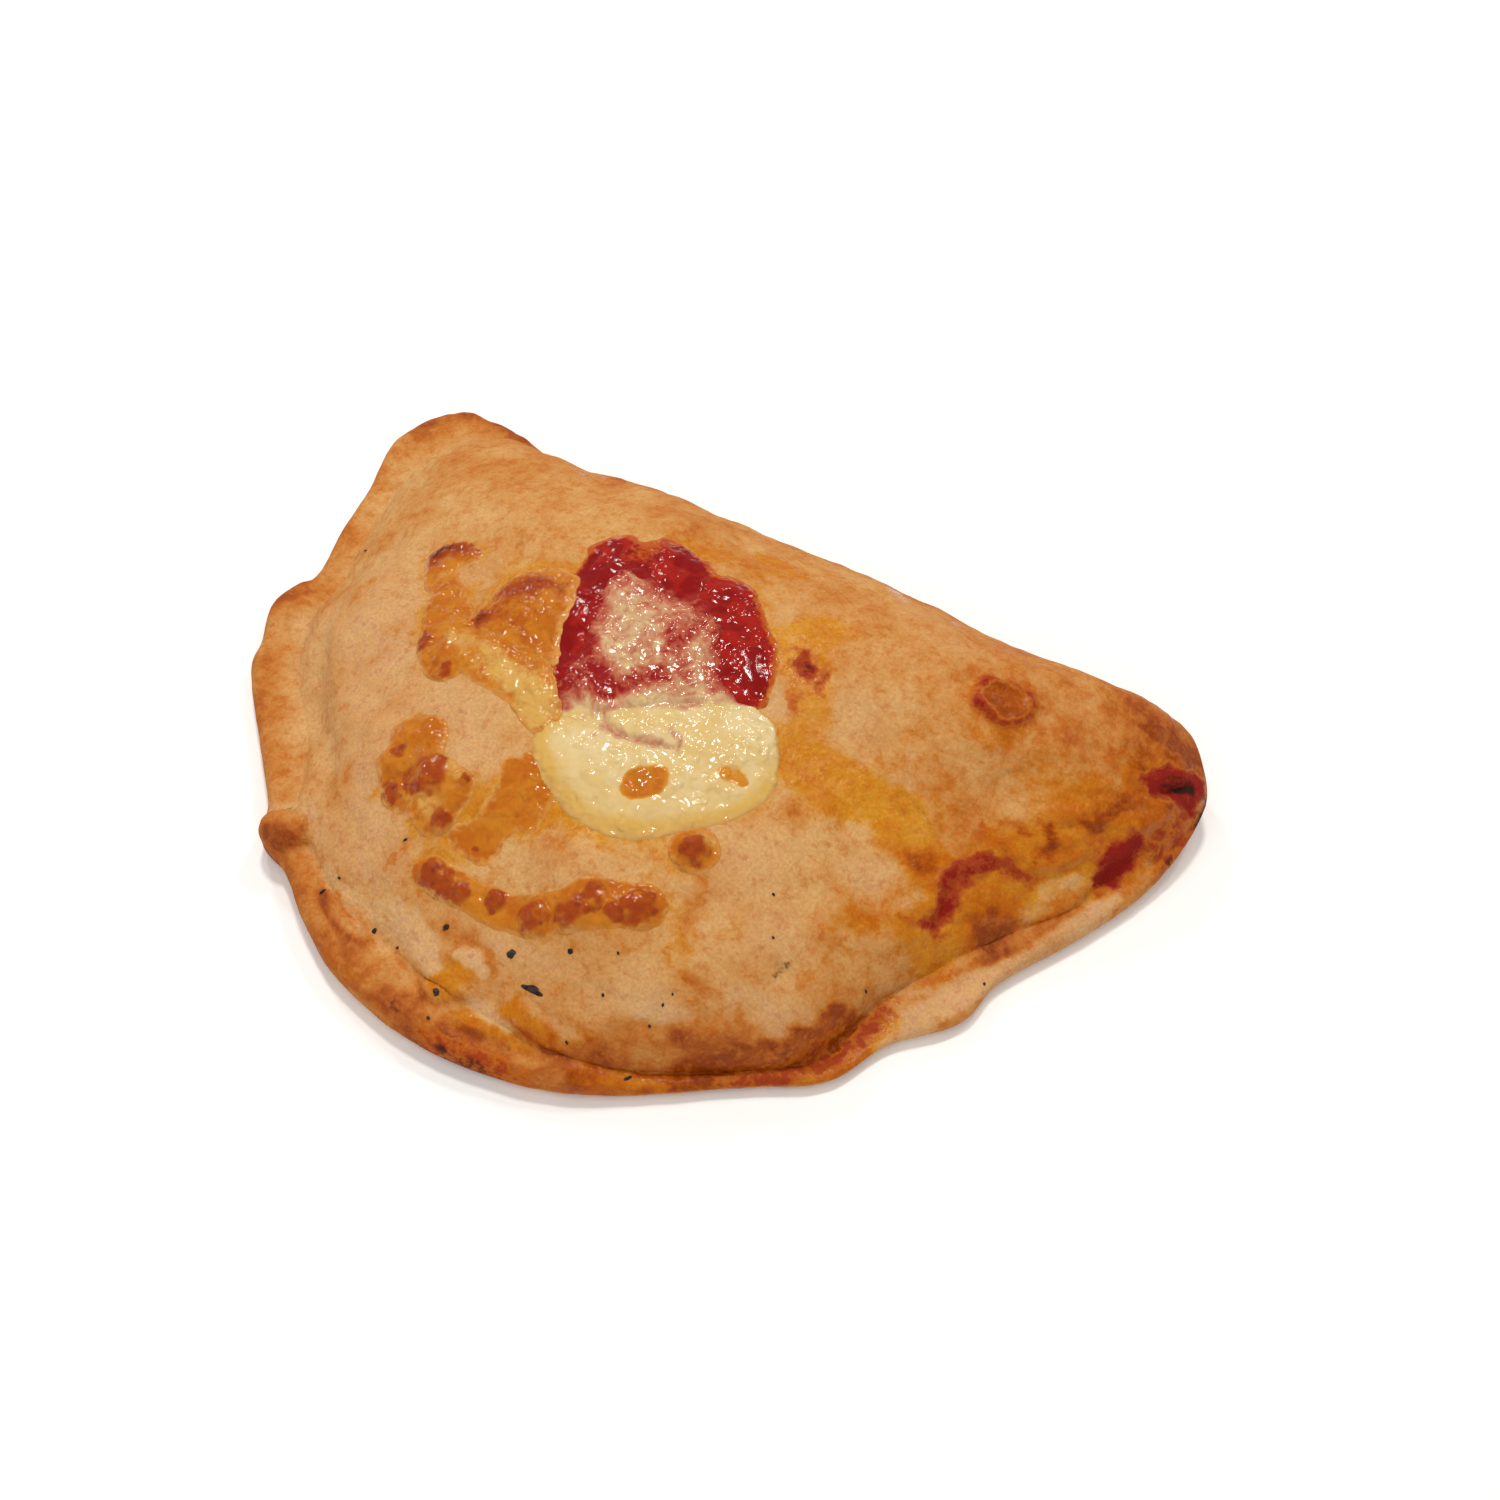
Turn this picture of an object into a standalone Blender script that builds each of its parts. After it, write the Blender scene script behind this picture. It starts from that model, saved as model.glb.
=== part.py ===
"""Calzone: a half-moon of pizza dough folded over its filling, sealed along the round edge and baked,
with tomato sauce and melted cheese on its crown.

Metres, +Z up. The fold runs along X at the back (+Y), the sealed round edge lies at the front (-Y),
and the origin is the centre of the footprint at the flat underside.
"""

import math

import bmesh
import bpy
import numpy as np

MM = 0.001
GAP = 0.4 * MM  # between a topping and what it lies on
BRIDGE = 2.5 * MM  # how far a topping bridges out from the edge of another

# Driving dimensions of the dough
LENGTH = 250 * MM  # along the fold
DEPTH = 167 * MM  # from the fold to the sealed edge
CROWN = 38.5 * MM  # height of the puffed body
FOLD_NOSE = 14 * MM  # height at which the rounded fold reaches furthest back
SEAM_NOSE = 3 * MM  # the same for the sealed edge
FOLD_TUCK = 14 * MM  # how far the underside rounds inwards below the fold
SEAM_TUCK = 3 * MM
CENTRE = (-2 * MM, 15 * MM)  # the outline is drawn round this point

# The mesh of the dough
SEGMENTS = 124
CROWN_RINGS = 15
RIM_RINGS = 5
TUCK_RINGS = 3
STRAND_SEGMENTS = 12

# The footprint in millimetres, clockwise from the right-hand tip
OUTLINE = [
    (118, 79), (125, 69), (126, 57), (123, 40), (118, 27), (106, 2),
    (103, -13),  # the corner of the front lip
    (93, -25), (77, -46), (56, -64.5), (33, -78), (8, -83.5), (-16, -82), (-39, -73),
    (-66, -54), (-84, -39), (-101, -24), (-105, -16),
    (-111, -6), (-111, 2), (-109, 10),  # the small ear at the left
    (-114, 26), (-119, 43), (-124, 60), (-122, 75), (-113, 83),  # the left corner
    (-99, 84), (-84, 81), (-70, 77), (-55, 75.5), (-20, 78), (28, 80), (68, 79.5), (100, 81.5),
    (112, 82),
]

# Round the outline: angle, width and thickness of the pressed rim in millimetres, and how the body
# meets it, from 0.5, where it bulges over the rim, to 1, where it slopes down to it
RIM = [
    (8, 8, 6, 0.50), (18, 10, 8, 0.50), (28, 8, 14, 0.50), (40, 0, 14, 0.50), (90, 0, 14, 0.50),
    (128, 0, 14, 0.50), (140, 8, 13, 0.60), (150, 18, 13, 0.75), (162, 11, 10, 0.80),
    (178, 10, 8, 0.75), (196, 14, 8, 0.70), (212, 14, 8, 0.72), (228, 9, 8, 0.72),
    (246, 8, 8, 0.65), (262, 13, 8, 0.70), (280, 11, 7, 0.62), (296, 5, 5, 0.50),
    (318, 4, 4, 0.47), (332, 8, 4, 0.47), (342, 13, 4, 0.47), (356, 9, 4, 0.47),
]

# Swellings and hollows of the crown: x, y, reach along and across, direction in degrees, height;
# millimetres
SWELLS = [
    (-14, 34, 46, 26, 0, 3.0),  # the crown under the sauce
    (66, 46, 36, 18, -8, 3.5),  # the puffed right end of the fold
    (-66, 62, 16, 16, 0, -1.5),  # the dip between the fold and the left corner
    (66, 0, 22, 6, -38, -1.6),  # the crease from the cheese down to the seam
    (78, 14, 10, 8, 20, 3.0),  # the browned bubble above the lip
    (88, 52, 22, 6, 10, -1.6),  # puckers towards the right-hand tip
    (94, 36, 16, 5, 30, -1.6),
    (-60, 10, 20, 26, 40, -1.5),
]

# Folds pressed into the rim at the front left, given the same way
CRIMPS = [
    (-22, -72.5, 8, 5, -20, 1.8),
    (-8, -74, 6, 4.5, 60, 1.8),
    (5, -73, 7, 4.5, 20, 2.4),
    (24, -71, 10, 4, 10, 2.0),
]

# Sauce and cheese poured on the crown: the edge of each pool, in millimetres
SAUCE_EDGE = [
    (-35, 32), (-29, 38), (-19, 42), (-5, 43), (8, 41), (19, 37), (27, 28), (31, 18), (26, 12),
    (23, 3), (16, -4), (6, -8), (-5, -10), (-12, -5), (-20, 3), (-27, 13), (-33, 22),
]
CHEESE_EDGE = [
    (-17, 17), (-9, 28), (2, 28), (10, 26), (16, 18), (24, 13), (31, 14), (38, 10), (43, 1),
    (41, -10), (33.5, -18), (25, -25.5), (15, -30), (6, -29), (-1, -26), (-7, -17), (-10, -3),
]
KNOB_EDGE = [
    (-38, -27), (-31, -26), (-26, -30), (-20, -36), (-16, -42), (-18, -48), (-28, -48),
    (-37, -42), (-42, -33),
]
DROP_EDGE = [(34, -27), (38, -28), (42, -25.5), (42.5, -21.5), (39.5, -19.5), (35, -21), (33, -24)]

# Cheese that ran and fried: x, y and half width along each strand, in millimetres
LEFT_STRAND = [
    (-59, 21.5, 2.5), (-67, 18.5, 3.5), (-63, 9, 5), (-54, 1, 6), (-47, -5, 6), (-38, -6, 5),
    (-28, -8, 7), (-19, -12, 6), (-12, -16, 3),
]
BAND_STRAND = [(-49, 8, 2), (-43, 8, 4.5), (-36, 13, 6), (-29, 14, 5), (-24, 15, 3)]
SMEAR_STRAND = [(-6, -25, 3), (-9, -32, 6.5), (-9, -40, 7), (-10, -46, 4)]
FRONT_STRAND = [
    (-17, -52, 3), (-11, -54, 4), (-4, -54.5, 4.5), (5, -53, 4.5), (15, -50, 4.8), (25, -45, 5),
    (33, -40.5, 4.5), (38, -38, 3),
]

# Blisters of the dough: x, y, radius, height, in millimetres
BLISTERS = [
    (72.5, 47.0, 8.5, 1.4),  # the round brown one near the fold
    (-61.5, -57.0, 7.5, 6.0),  # the one on the rim at the left
    (-32.0, -66.5, 5.5, 2.4),
]


def closed_curve(points, per_span=6):
    """A smooth closed curve through the points, as an array of points."""
    points = np.array(points, float)
    before, after, later = (np.roll(points, shift, axis=0) for shift in (1, -1, -2))
    t = (np.arange(per_span) / per_span)[None, :, None]
    a, b, c, d = (p[:, None, :] for p in (before, points, after, later))
    curve = b + 0.5 * t * (
        c - a + t * (2 * a - 5 * b + 4 * c - d + t * (3 * (b - c) + d - a))
    )
    return curve.reshape(-1, 2)


def outline_curve():
    """The footprint, stretched to LENGTH by DEPTH and centred on the origin."""
    curve = closed_curve(OUTLINE)
    low, high = curve.min(axis=0), curve.max(axis=0)
    return (curve - (low + high) / 2) / (high - low) * (LENGTH, DEPTH)


def radius_table():
    """The outline's distance from CENTRE at each degree."""
    away = outline_curve() - CENTRE
    angles = np.degrees(np.arctan2(away[:, 1], away[:, 0])) % 360
    order = np.argsort(angles)
    reach = np.hypot(away[:, 0], away[:, 1])
    return np.interp(np.arange(360), angles[order], reach[order], period=360)


def smooth_table(angles, values, blur=5.0):
    """The values at each degree, eased into each other over blur degrees."""
    table = np.interp(np.arange(360), angles, values, period=360)
    offsets = np.arange(-15, 16)
    weights = np.exp(-0.5 * (offsets / blur) ** 2)
    return sum(
        w * np.roll(table, o) for w, o in zip(weights / weights.sum(), offsets, strict=True)
    )


class Dough:
    """The form of the dough, worked out from the sizes above."""

    def __init__(self):
        degrees, width, thickness, slope = np.array(RIM, float).T
        self.reach = radius_table()
        self.soft_reach = smooth_table(np.arange(360), self.reach, blur=4.0)
        self.rim_width = smooth_table(degrees, width) * MM
        self.rim_top = smooth_table(degrees, thickness) * MM
        self.slope = smooth_table(degrees, slope)
        self.fold = smooth_table([14, 32, 132, 148], [0, 1, 1, 0])

    @staticmethod
    def at(table, angle):
        return np.interp(np.degrees(angle), np.arange(360), table, period=360)

    def nose(self, angle):
        """Height at which the outline reaches furthest out."""
        fold = self.at(self.fold, angle)
        return SEAM_NOSE + fold * (FOLD_NOSE - SEAM_NOSE)

    def crease(self, angle):
        """How far from CENTRE the body meets the rim."""
        fold = self.at(self.fold, angle)
        reach = self.at(self.reach, angle)
        body = np.minimum(self.at(self.soft_reach, angle) - self.at(self.rim_width, angle), reach)
        return fold * reach + (1 - fold) * body

    def top(self, x, y):
        """Height of the upper side over a point of the footprint."""
        dx, dy = x - CENTRE[0], y - CENTRE[1]
        angle, distance = np.arctan2(dy, dx), np.hypot(dx, dy)
        reach, crease = self.at(self.reach, angle), self.crease(angle)
        rim_top, slope = self.at(self.rim_top, angle), self.at(self.slope, angle)
        fold, nose = self.at(self.fold, angle), self.nose(angle)
        share = np.clip(distance / crease, 0, 1)
        foot = fold * nose + (1 - fold) * (rim_top - 1.2 * MM)
        body = foot + (CROWN - foot) * (1 - share ** (2.1 + 0.9 * fold)) ** slope
        body += self.swells(x, y, SWELLS) * (1 - share**6)
        inwards = np.clip((reach - distance) / (0.5 * rim_top), 0, 1)
        rim = nose + (rim_top - nose) * np.sqrt(1 - (1 - inwards) ** 2) * (1 - fold)
        body = np.where(distance < crease, body, rim - 2 * MM)
        crimps = self.swells(x, y, CRIMPS) * np.sqrt(1 - (1 - inwards) ** 2) * (1 - fold)
        return smooth_max(body, rim, 1.2 * MM) + crimps + self.blisters(x, y)

    @staticmethod
    def swells(x, y, rows):
        """Sum of the rows' swellings and hollows over a point."""
        total = np.zeros_like(x)
        for at_x, at_y, along, across, direction, height in rows:
            turn = math.radians(direction)
            dx, dy = x - at_x * MM, y - at_y * MM
            u = (dx * math.cos(turn) + dy * math.sin(turn)) / (along * MM)
            v = (dy * math.cos(turn) - dx * math.sin(turn)) / (across * MM)
            total += height * MM * np.exp(-(u**2 + v**2))
        return total

    @staticmethod
    def blisters(x, y):
        total = np.zeros_like(x)
        for at_x, at_y, radius, height in BLISTERS:
            apart = np.hypot(x - at_x * MM, y - at_y * MM) / (radius * MM)
            total += height * MM * np.clip(1 - apart**2, 0, 1) ** 0.7
        return total

    def underside(self, angle, inwards):
        """Height of the underside, inwards metres in from the outline."""
        fold, nose = self.at(self.fold, angle), self.nose(angle)
        tuck = SEAM_TUCK + fold * (FOLD_TUCK - SEAM_TUCK)
        return nose * (1 - np.sqrt(1 - np.clip(1 - inwards / tuck, 0, 1) ** 2))


def smooth_max(a, b, width):
    """The larger of two heights, with a fillet about width wide where they cross."""
    mix = np.clip(0.5 + 0.5 * (a - b) / width, 0, 1)
    return b + (a - b) * mix + width * mix * (1 - mix)


def clear_scene():
    for obj in list(bpy.data.objects):
        bpy.data.objects.remove(obj)


def material(name, colour, roughness):
    """A plain food material."""
    made = bpy.data.materials.new(name)
    made.use_nodes = True
    shader = made.node_tree.nodes["Principled BSDF"]
    shader.inputs["Base Color"].default_value = (*colour, 1)
    shader.inputs["Roughness"].default_value = roughness
    shader.inputs["Metallic"].default_value = 0
    return made


def new_object(name, bm, collection, finish, place=(0.0, 0.0, 0.0)):
    """A smooth-shaded object with that mesh in the collection, its origin at the place."""
    bmesh.ops.translate(bm, verts=bm.verts, vec=[-side for side in place])
    mesh = bpy.data.meshes.new(name)
    bm.to_mesh(mesh)
    bm.free()
    mesh.shade_smooth()
    mesh.materials.append(finish)
    obj = bpy.data.objects.new(name, mesh)
    obj.location = place
    collection.objects.link(obj)
    return obj


def dough_body(form, collection, finish):
    """The folded dough: a sphere whose first rings become the crown, the next the rim, and the next
    round the edge down to the flat underside."""
    bm = bmesh.new()
    rim_start, edge = CROWN_RINGS, CROWN_RINGS + RIM_RINGS
    last = edge + TUCK_RINGS + 1
    bmesh.ops.create_uvsphere(bm, u_segments=SEGMENTS, v_segments=last, radius=1)
    for vert in bm.verts:
        ring = round(math.acos(max(-1.0, min(1.0, vert.co.z))) / math.pi * last)
        angle = math.atan2(vert.co.y, vert.co.x)
        reach = float(form.at(form.reach, angle))
        crease = min(float(form.crease(angle)), reach - 2.5 * MM)
        if ring <= rim_start:
            distance = crease * math.sin(0.5 * math.pi * ring / rim_start) ** 0.9
        elif ring <= edge:
            part = (ring - rim_start) / RIM_RINGS
            distance = crease + (reach - crease) * math.sin(0.5 * math.pi * part)
        else:
            fold = float(form.at(form.fold, angle))
            tuck = SEAM_TUCK + fold * (FOLD_TUCK - SEAM_TUCK)
            part = min(1.0, (ring - edge) / TUCK_RINGS)
            distance = reach - tuck * (1 - math.cos(0.5 * math.pi * part))
        if ring == last:
            distance = 0
        x = CENTRE[0] + distance * math.cos(angle)
        y = CENTRE[1] + distance * math.sin(angle)
        if ring < edge:
            z = float(form.top(np.array(x), np.array(y)))
        elif ring == edge:
            z = float(form.nose(angle))
        else:
            z = float(form.underside(angle, np.array(reach - distance)))
        vert.co = (x, y, z)
    bmesh.ops.dissolve_limit(
        bm, angle_limit=math.radians(0.2), verts=bm.verts, edges=bm.edges
    )
    return new_object("dough", bm, collection, finish)


def resting_height(x, y, below):
    """Height at which a topping lies over a point, on the dough or bridging the edge of another
    topping close by."""
    heights = []
    for piece in below:
        spread = 0 if piece is below[0] else BRIDGE
        for turn in range(8 if spread else 1):
            at_x = x + spread * math.cos(turn * math.pi / 4)
            at_y = y + spread * math.sin(turn * math.pi / 4)
            above = (at_x - piece.location.x, at_y - piece.location.y, 1.0)
            hit, touched, _, _ = piece.ray_cast(above, (0.0, 0.0, -1.0))
            if hit:
                heights.append(touched.z + piece.location.z)
    return max(heights) + GAP


def lay_down(bm, places, thickness, below):
    """Lays a sphere's points at the places: the lower half on what is below, the upper half over it."""
    for vert, (x, y, rise) in zip(list(bm.verts), places, strict=True):
        z = resting_height(x, y, below) + thickness * max(0.0, rise) ** 0.8
        vert.co = (x, y, z)


def pool(name, edge, thickness, below, collection, finish):
    """A thin pool with a rounded rim, whose edge runs through the points."""
    curve = closed_curve(edge) * MM
    middle = (curve.min(axis=0) + curve.max(axis=0)) / 2
    away = curve - middle
    angles = np.arctan2(away[:, 1], away[:, 0])
    order = np.argsort(angles)
    reach = np.hypot(away[:, 0], away[:, 1])[order]
    angles = angles[order]
    bm = bmesh.new()
    bmesh.ops.create_uvsphere(bm, u_segments=26, v_segments=10, radius=1)
    places = []
    for vert in bm.verts:
        angle = math.atan2(vert.co.y, vert.co.x)
        out = math.hypot(vert.co.x, vert.co.y) * np.interp(angle, angles, reach, period=math.tau)
        x = middle[0] + out * math.cos(angle)
        y = middle[1] + out * math.sin(angle)
        places.append((x, y, vert.co.z))
    lay_down(bm, places, thickness, below)
    origin = (*middle, resting_height(*middle, below))
    return new_object(name, bm, collection, finish, origin)


def strand(name, spine, thickness, below, collection, finish):
    """A thin strand of melted cheese along the spine, rounded across and at its ends."""
    spine = np.array(spine, float) * MM
    along = np.linspace(0, 1, len(spine))
    bm = bmesh.new()
    rings = 5 + int(1.6 * len(spine))
    bmesh.ops.create_uvsphere(bm, u_segments=STRAND_SEGMENTS, v_segments=rings, radius=1)
    places = []
    for vert in bm.verts:
        at = 0.5 + 0.5 * max(-1.0, min(1.0, vert.co.z))
        x, y, half = (np.interp(at, along, spine[:, i]) for i in range(3))
        ahead, back = min(at + 0.04, 1.0), max(at - 0.04, 0.0)
        ends = [[np.interp(end, along, spine[:, i]) for i in (0, 1)] for end in (ahead, back)]
        run = [ends[0][i] - ends[1][i] for i in (0, 1)]
        length = math.hypot(*run)
        ring = math.sqrt(max(0.0, 1 - vert.co.z**2))
        taper = min(1.0, ring / 0.6)
        side = -vert.co.y / ring * taper * half if ring > 1e-6 else 0.0
        rise = vert.co.x / ring * taper if ring > 1e-6 else 0.0
        places.append((x - side * run[1] / length, y + side * run[0] / length, rise))
    lay_down(bm, places, thickness, below)
    x, y = spine[len(spine) // 2, :2]
    origin = (x, y, resting_height(x, y, below))
    return new_object(name, bm, collection, finish, origin)


def build():
    clear_scene()
    collection = bpy.data.collections.new("calzone")
    bpy.context.scene.collection.children.link(collection)
    baked = material("baked_dough", (0.62, 0.33, 0.13), 0.5)
    tomato = material("tomato", (0.36, 0.01, 0.008), 0.2)
    cheese = material("molten_cheese", (0.85, 0.68, 0.36), 0.25)
    fried = material("fried_cheese", (0.62, 0.22, 0.03), 0.25)
    body = dough_body(Dough(), collection, baked)
    sauce = pool("tomato_sauce", SAUCE_EDGE, 1.6 * MM, [body], collection, tomato)
    on_top = [body, sauce]
    poured = pool("melted_cheese", CHEESE_EDGE, 2.0 * MM, on_top, collection, cheese)
    pool("cheese_knob", KNOB_EDGE, 2.4 * MM, [body], collection, fried)
    pool("cheese_drop", DROP_EDGE, 2.4 * MM, [body], collection, fried)
    strand("cheese_strand_front", FRONT_STRAND, 2.2 * MM, [body], collection, fried)
    strand("cheese_smear", SMEAR_STRAND, 0.9 * MM, [body, poured], collection, fried)
    on_top.append(poured)
    on_top.append(strand("cheese_strand_left", LEFT_STRAND, 1.6 * MM, on_top, collection, fried))
    strand("cheese_band", BAND_STRAND, 1.4 * MM, on_top, collection, fried)


build()
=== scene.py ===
"""Calzone, finished: baked and oiled dough, wet tomato sauce, melted and fried cheese, and char flecks,
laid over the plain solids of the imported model.

Plan positions and sizes in the lists are in millimetres: +X along the fold towards the burnt tip,
+Y towards the fold, with the origin at the centre of the footprint.
"""

import math
from itertools import product

import bmesh
import bpy
import numpy as np
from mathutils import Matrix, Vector
from mathutils.bvhtree import BVHTree


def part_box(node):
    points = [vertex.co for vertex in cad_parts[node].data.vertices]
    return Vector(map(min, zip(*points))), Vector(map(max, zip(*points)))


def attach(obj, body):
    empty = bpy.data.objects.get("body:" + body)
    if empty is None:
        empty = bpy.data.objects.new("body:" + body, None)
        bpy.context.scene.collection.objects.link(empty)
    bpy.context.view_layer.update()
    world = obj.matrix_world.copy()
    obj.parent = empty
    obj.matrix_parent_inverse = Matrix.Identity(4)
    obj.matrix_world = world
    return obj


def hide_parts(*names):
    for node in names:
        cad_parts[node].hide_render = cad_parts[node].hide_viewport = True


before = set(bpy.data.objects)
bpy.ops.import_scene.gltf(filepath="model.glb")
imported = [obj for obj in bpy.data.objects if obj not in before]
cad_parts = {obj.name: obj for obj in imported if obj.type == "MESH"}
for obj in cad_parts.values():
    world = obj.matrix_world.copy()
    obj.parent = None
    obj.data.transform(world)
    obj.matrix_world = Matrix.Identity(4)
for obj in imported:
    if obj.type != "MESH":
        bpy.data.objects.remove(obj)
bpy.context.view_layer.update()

MM = 0.001

# ---------------------------------------------------------------------------------------------
# The form of the dough
# ---------------------------------------------------------------------------------------------
CROWN = 38.5  # height of the puffed body
FOLD_NOSE, SEAM_NOSE = 14.0, 3.0  # height at which the fold and the seam reach furthest out
FOLD_TUCK, SEAM_TUCK = 14.0, 3.0  # how far the underside rounds inwards below them
FOOT_DROP = 1.2  # how far below the rim's top the body starts to rise
GROOVE_DEPTH, GROOVE_WIDTH = 1.6, 1.6  # between the body and the rim along the front
CENTRE = (-2.0, 15.0)  # angles round the outline are taken from here
PUCKER_POINT = (128, 62)  # beyond the right-hand tip, where the puckers gather

# The footprint, clockwise from the right-hand tip
OUTLINE = [
    (118, 79), (125, 69), (126, 57), (123, 40), (118, 27), (106, 2),
    (103, -13),  # the corner of the front lip
    (93, -25), (77, -46), (56, -64.5), (33, -78), (8, -83.5), (-16, -82), (-39, -73),
    (-66, -54), (-84, -39), (-101, -24), (-105, -16),
    (-111, -6), (-111, 2), (-109, 10),  # the small ear at the left
    (-114, 26), (-119, 43), (-124, 60), (-122, 75), (-113, 83),  # the left corner
    (-99, 84), (-84, 81), (-70, 77), (-55, 75.5), (-20, 78), (28, 80), (68, 79.5), (100, 81.5),
    (112, 82),
]

# Round the outline: angle, width and thickness of the pressed rim, and how the body meets it, from
# 0.5, where it bulges over the rim, to 1, where it slopes down to it
RIM = [
    (2, 8, 5.0, 0.70), (9, 6, 5.4, 0.70), (15, 3, 7.5, 0.62), (21, 0, 11, 0.54), (30, 0, 14, 0.50),
    (40, 0, 14, 0.50), (90, 0, 14, 0.50), (128, 0, 14, 0.50), (140, 8, 13, 0.60), (150, 18, 13, 0.75),
    (162, 11, 10, 0.80), (178, 10, 8, 0.75), (196, 14, 8, 0.70), (212, 14, 7.5, 0.74),
    (228, 9, 7, 0.76), (246, 8, 6.5, 0.74), (262, 13, 6.5, 0.76), (280, 11, 6.5, 0.70),
    (292, 7, 5.5, 0.56), (304, 4.5, 5, 0.50), (318, 4, 4, 0.47), (328, 4.5, 4, 0.47), (334, 8, 4, 0.47),
    (341, 15, 4, 0.50), (347, 12, 4.5, 0.55), (355, 10, 5, 0.66),
]

# Where the rim stands out past the outline: angle, how far, and how quickly that eases off
BULGES = [
    (232.5, 3.8, 4.0),  # the round bubble at the left
    (327.0, 3.8, 6.5),  # the seam at the right
]

# Swellings and hollows: x, y, reach along and across, direction in degrees, height
SWELLS = [
    (-14, 34, 46, 26, 0, 3.0),  # the crown under the sauce
    (66, 46, 36, 18, -8, 3.5),  # the puffed right end of the fold
    (-66, 62, 16, 16, 0, -1.5),  # the dip between the fold and the left corner
    (66, 0, 22, 6, -38, -1.6),  # the crease from the cheese down to the seam
    (88, 52, 22, 6, 10, -1.6),  # puckers towards the right-hand tip
    (94, 36, 16, 5, 30, -1.6),
    (-60, 10, 20, 26, 40, -1.5),
]

# Folds pressed into the rim at the front left, given the same way
CRIMPS = [
    (-22, -72.5, 8, 5, -20, 1.4),
    (-8, -74, 6, 4.5, 60, 1.4),
    (5, -73, 7, 4.5, 20, 1.8),
    (24, -71, 10, 4, 10, 1.4),
]

# Round bubbles in the crust: x, y, radius, height
BLISTERS = [(-57.0, -59.0, 6.4, 5.2)]  # on the left rim

# Places with a browned edge or top, as ovals: x, y, reach along and across, direction
RING = (76.3, 47.8, 7.61, 6.11, 32.7)  # the round blister on the slope below the fold
MOUND = (97, 7.6, 5.4, 4.8, 0)  # over the lip
LONG_BUBBLE = (-27.5, -69.5, 9.5, 3.2, -18)  # on the left rim
ROUND_BUBBLE = (-57, -59.5, 6.6, 6.6, 0)  # further left

# Where tiny bubbles pit the crust, given as the swellings are
PITTED = [
    (97, 8, 6, 6, 0, 1.0), (-57, -60, 8, 8, 0, 1.0), (-27, -69, 8, 8, 0, 1.0), (120, 51, 7, 7, 0, 1.0),
    (118, 44, 6, 6, 0, 1.0),
]

# Small mounds and pits, given as the swellings are, for the fine surface only
BUMPS = [
    (96.7, 7.8, 6.5, 5.5, 30, 1.6),  # browned mound over the lip
    (67.2, -33.2, 1.6, 2.6, 70, -1.0),  # the vent pricked in the front
    (-27.5, -69.5, 8.5, 2.7, -18, 2.0),  # the long bubble on the left rim
    (-27.5, -69.5, 11.5, 4.6, -18, -0.8),
    (-108, -2, 5, 8, 10, 1.0),  # the ear
    (4, -70.5, 5, 3, 20, 1.2), (26, -67.8, 6, 2.4, 0, 1.0), (16, -73, 7, 2.4, 8, 0.8),
    (6, -65.5, 5, 2, 0, 0.7), (-3, -69.5, 4, 2, -30, 0.6), (-18, -75, 8, 3, -12, 0.6),
    (-20, 52, 7, 5, 30, 0.7), (-58, 40, 9, 6, -20, 0.8), (-84, 30, 8, 6, 60, 0.6),
    (52, -6, 6, 5, 0, 0.6), (30, -46, 9, 6, 40, 0.7), (8, -46, 7, 5, 0, -0.5),
    (-58, -30, 9, 6, -40, 0.9), (-72, 2, 8, 6, 60, 0.6), (48, 60, 9, 5, -10, 0.7),
    (20, 62, 8, 5, 0, 0.6), (58, -20, 6, 4, 50, -0.5), (104, 60, 6, 4, -30, 0.8),
    (106, 22, 6, 3, 50, 0.8), (72, -16, 8, 5, 45, 0.7), (118, 53, 5, 4, 60, 1.3),
    (114, 46, 3, 6, 10, 0.8), (100, 36, 6, 3, 30, 0.7), (93, 33, 7, 3, 40, 0.8), (91, 22, 5, 2.4, 40, 0.7),
    (78, -8, 7, 5, 40, 0.6), (89, 10, 4, 6, -20, 0.8), (46, -60, 9, 3, 28, 0.5), (-34, -58, 6, 4, 30, 0.5),
]

# Ledges, where dough laps over dough: the upper layer lies to the left of each line.
# Points, height of the step, how far it eases away, and how sharp it is
LEDGES = [
    ([(12, -67), (12, -63.3), (8.7, -62.5), (2.5, -64), (-2, -66)], 0.6, 4, 0.8),
    ([(-5, -71.5), (-0.5, -75.3), (4.4, -75), (8.2, -72.6), (11.2, -69.8), (9, -67)], 0.8, 4, 0.8),
    ([(18, -69), (20.5, -70.7), (25, -71), (29, -70.6), (34, -69.4)], 0.9, 4.5, 0.7),
    ([(9, -77), (16.3, -76.2), (25, -74.7)], 0.7, 3.5, 0.6),
    ([(22, -65.5), (29, -65), (36, -63.8)], 0.5, 4, 0.8),
    ([(84, -8), (87, 0), (86, 7), (90, 14), (96, 18), (101, 19)], 0.8, 7, 1.4),
    ([(97, 22), (102, 27), (107, 34)], 0.9, 5, 0.8),
    ([(108, 22), (112.5, 33), (115, 41), (117, 50)], 0.8, 5, 0.9),
    ([(-98, 18), (-103, 30), (-106, 44), (-107, 58), (-101, 68)], -0.9, 7, 1.0),
]

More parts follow.
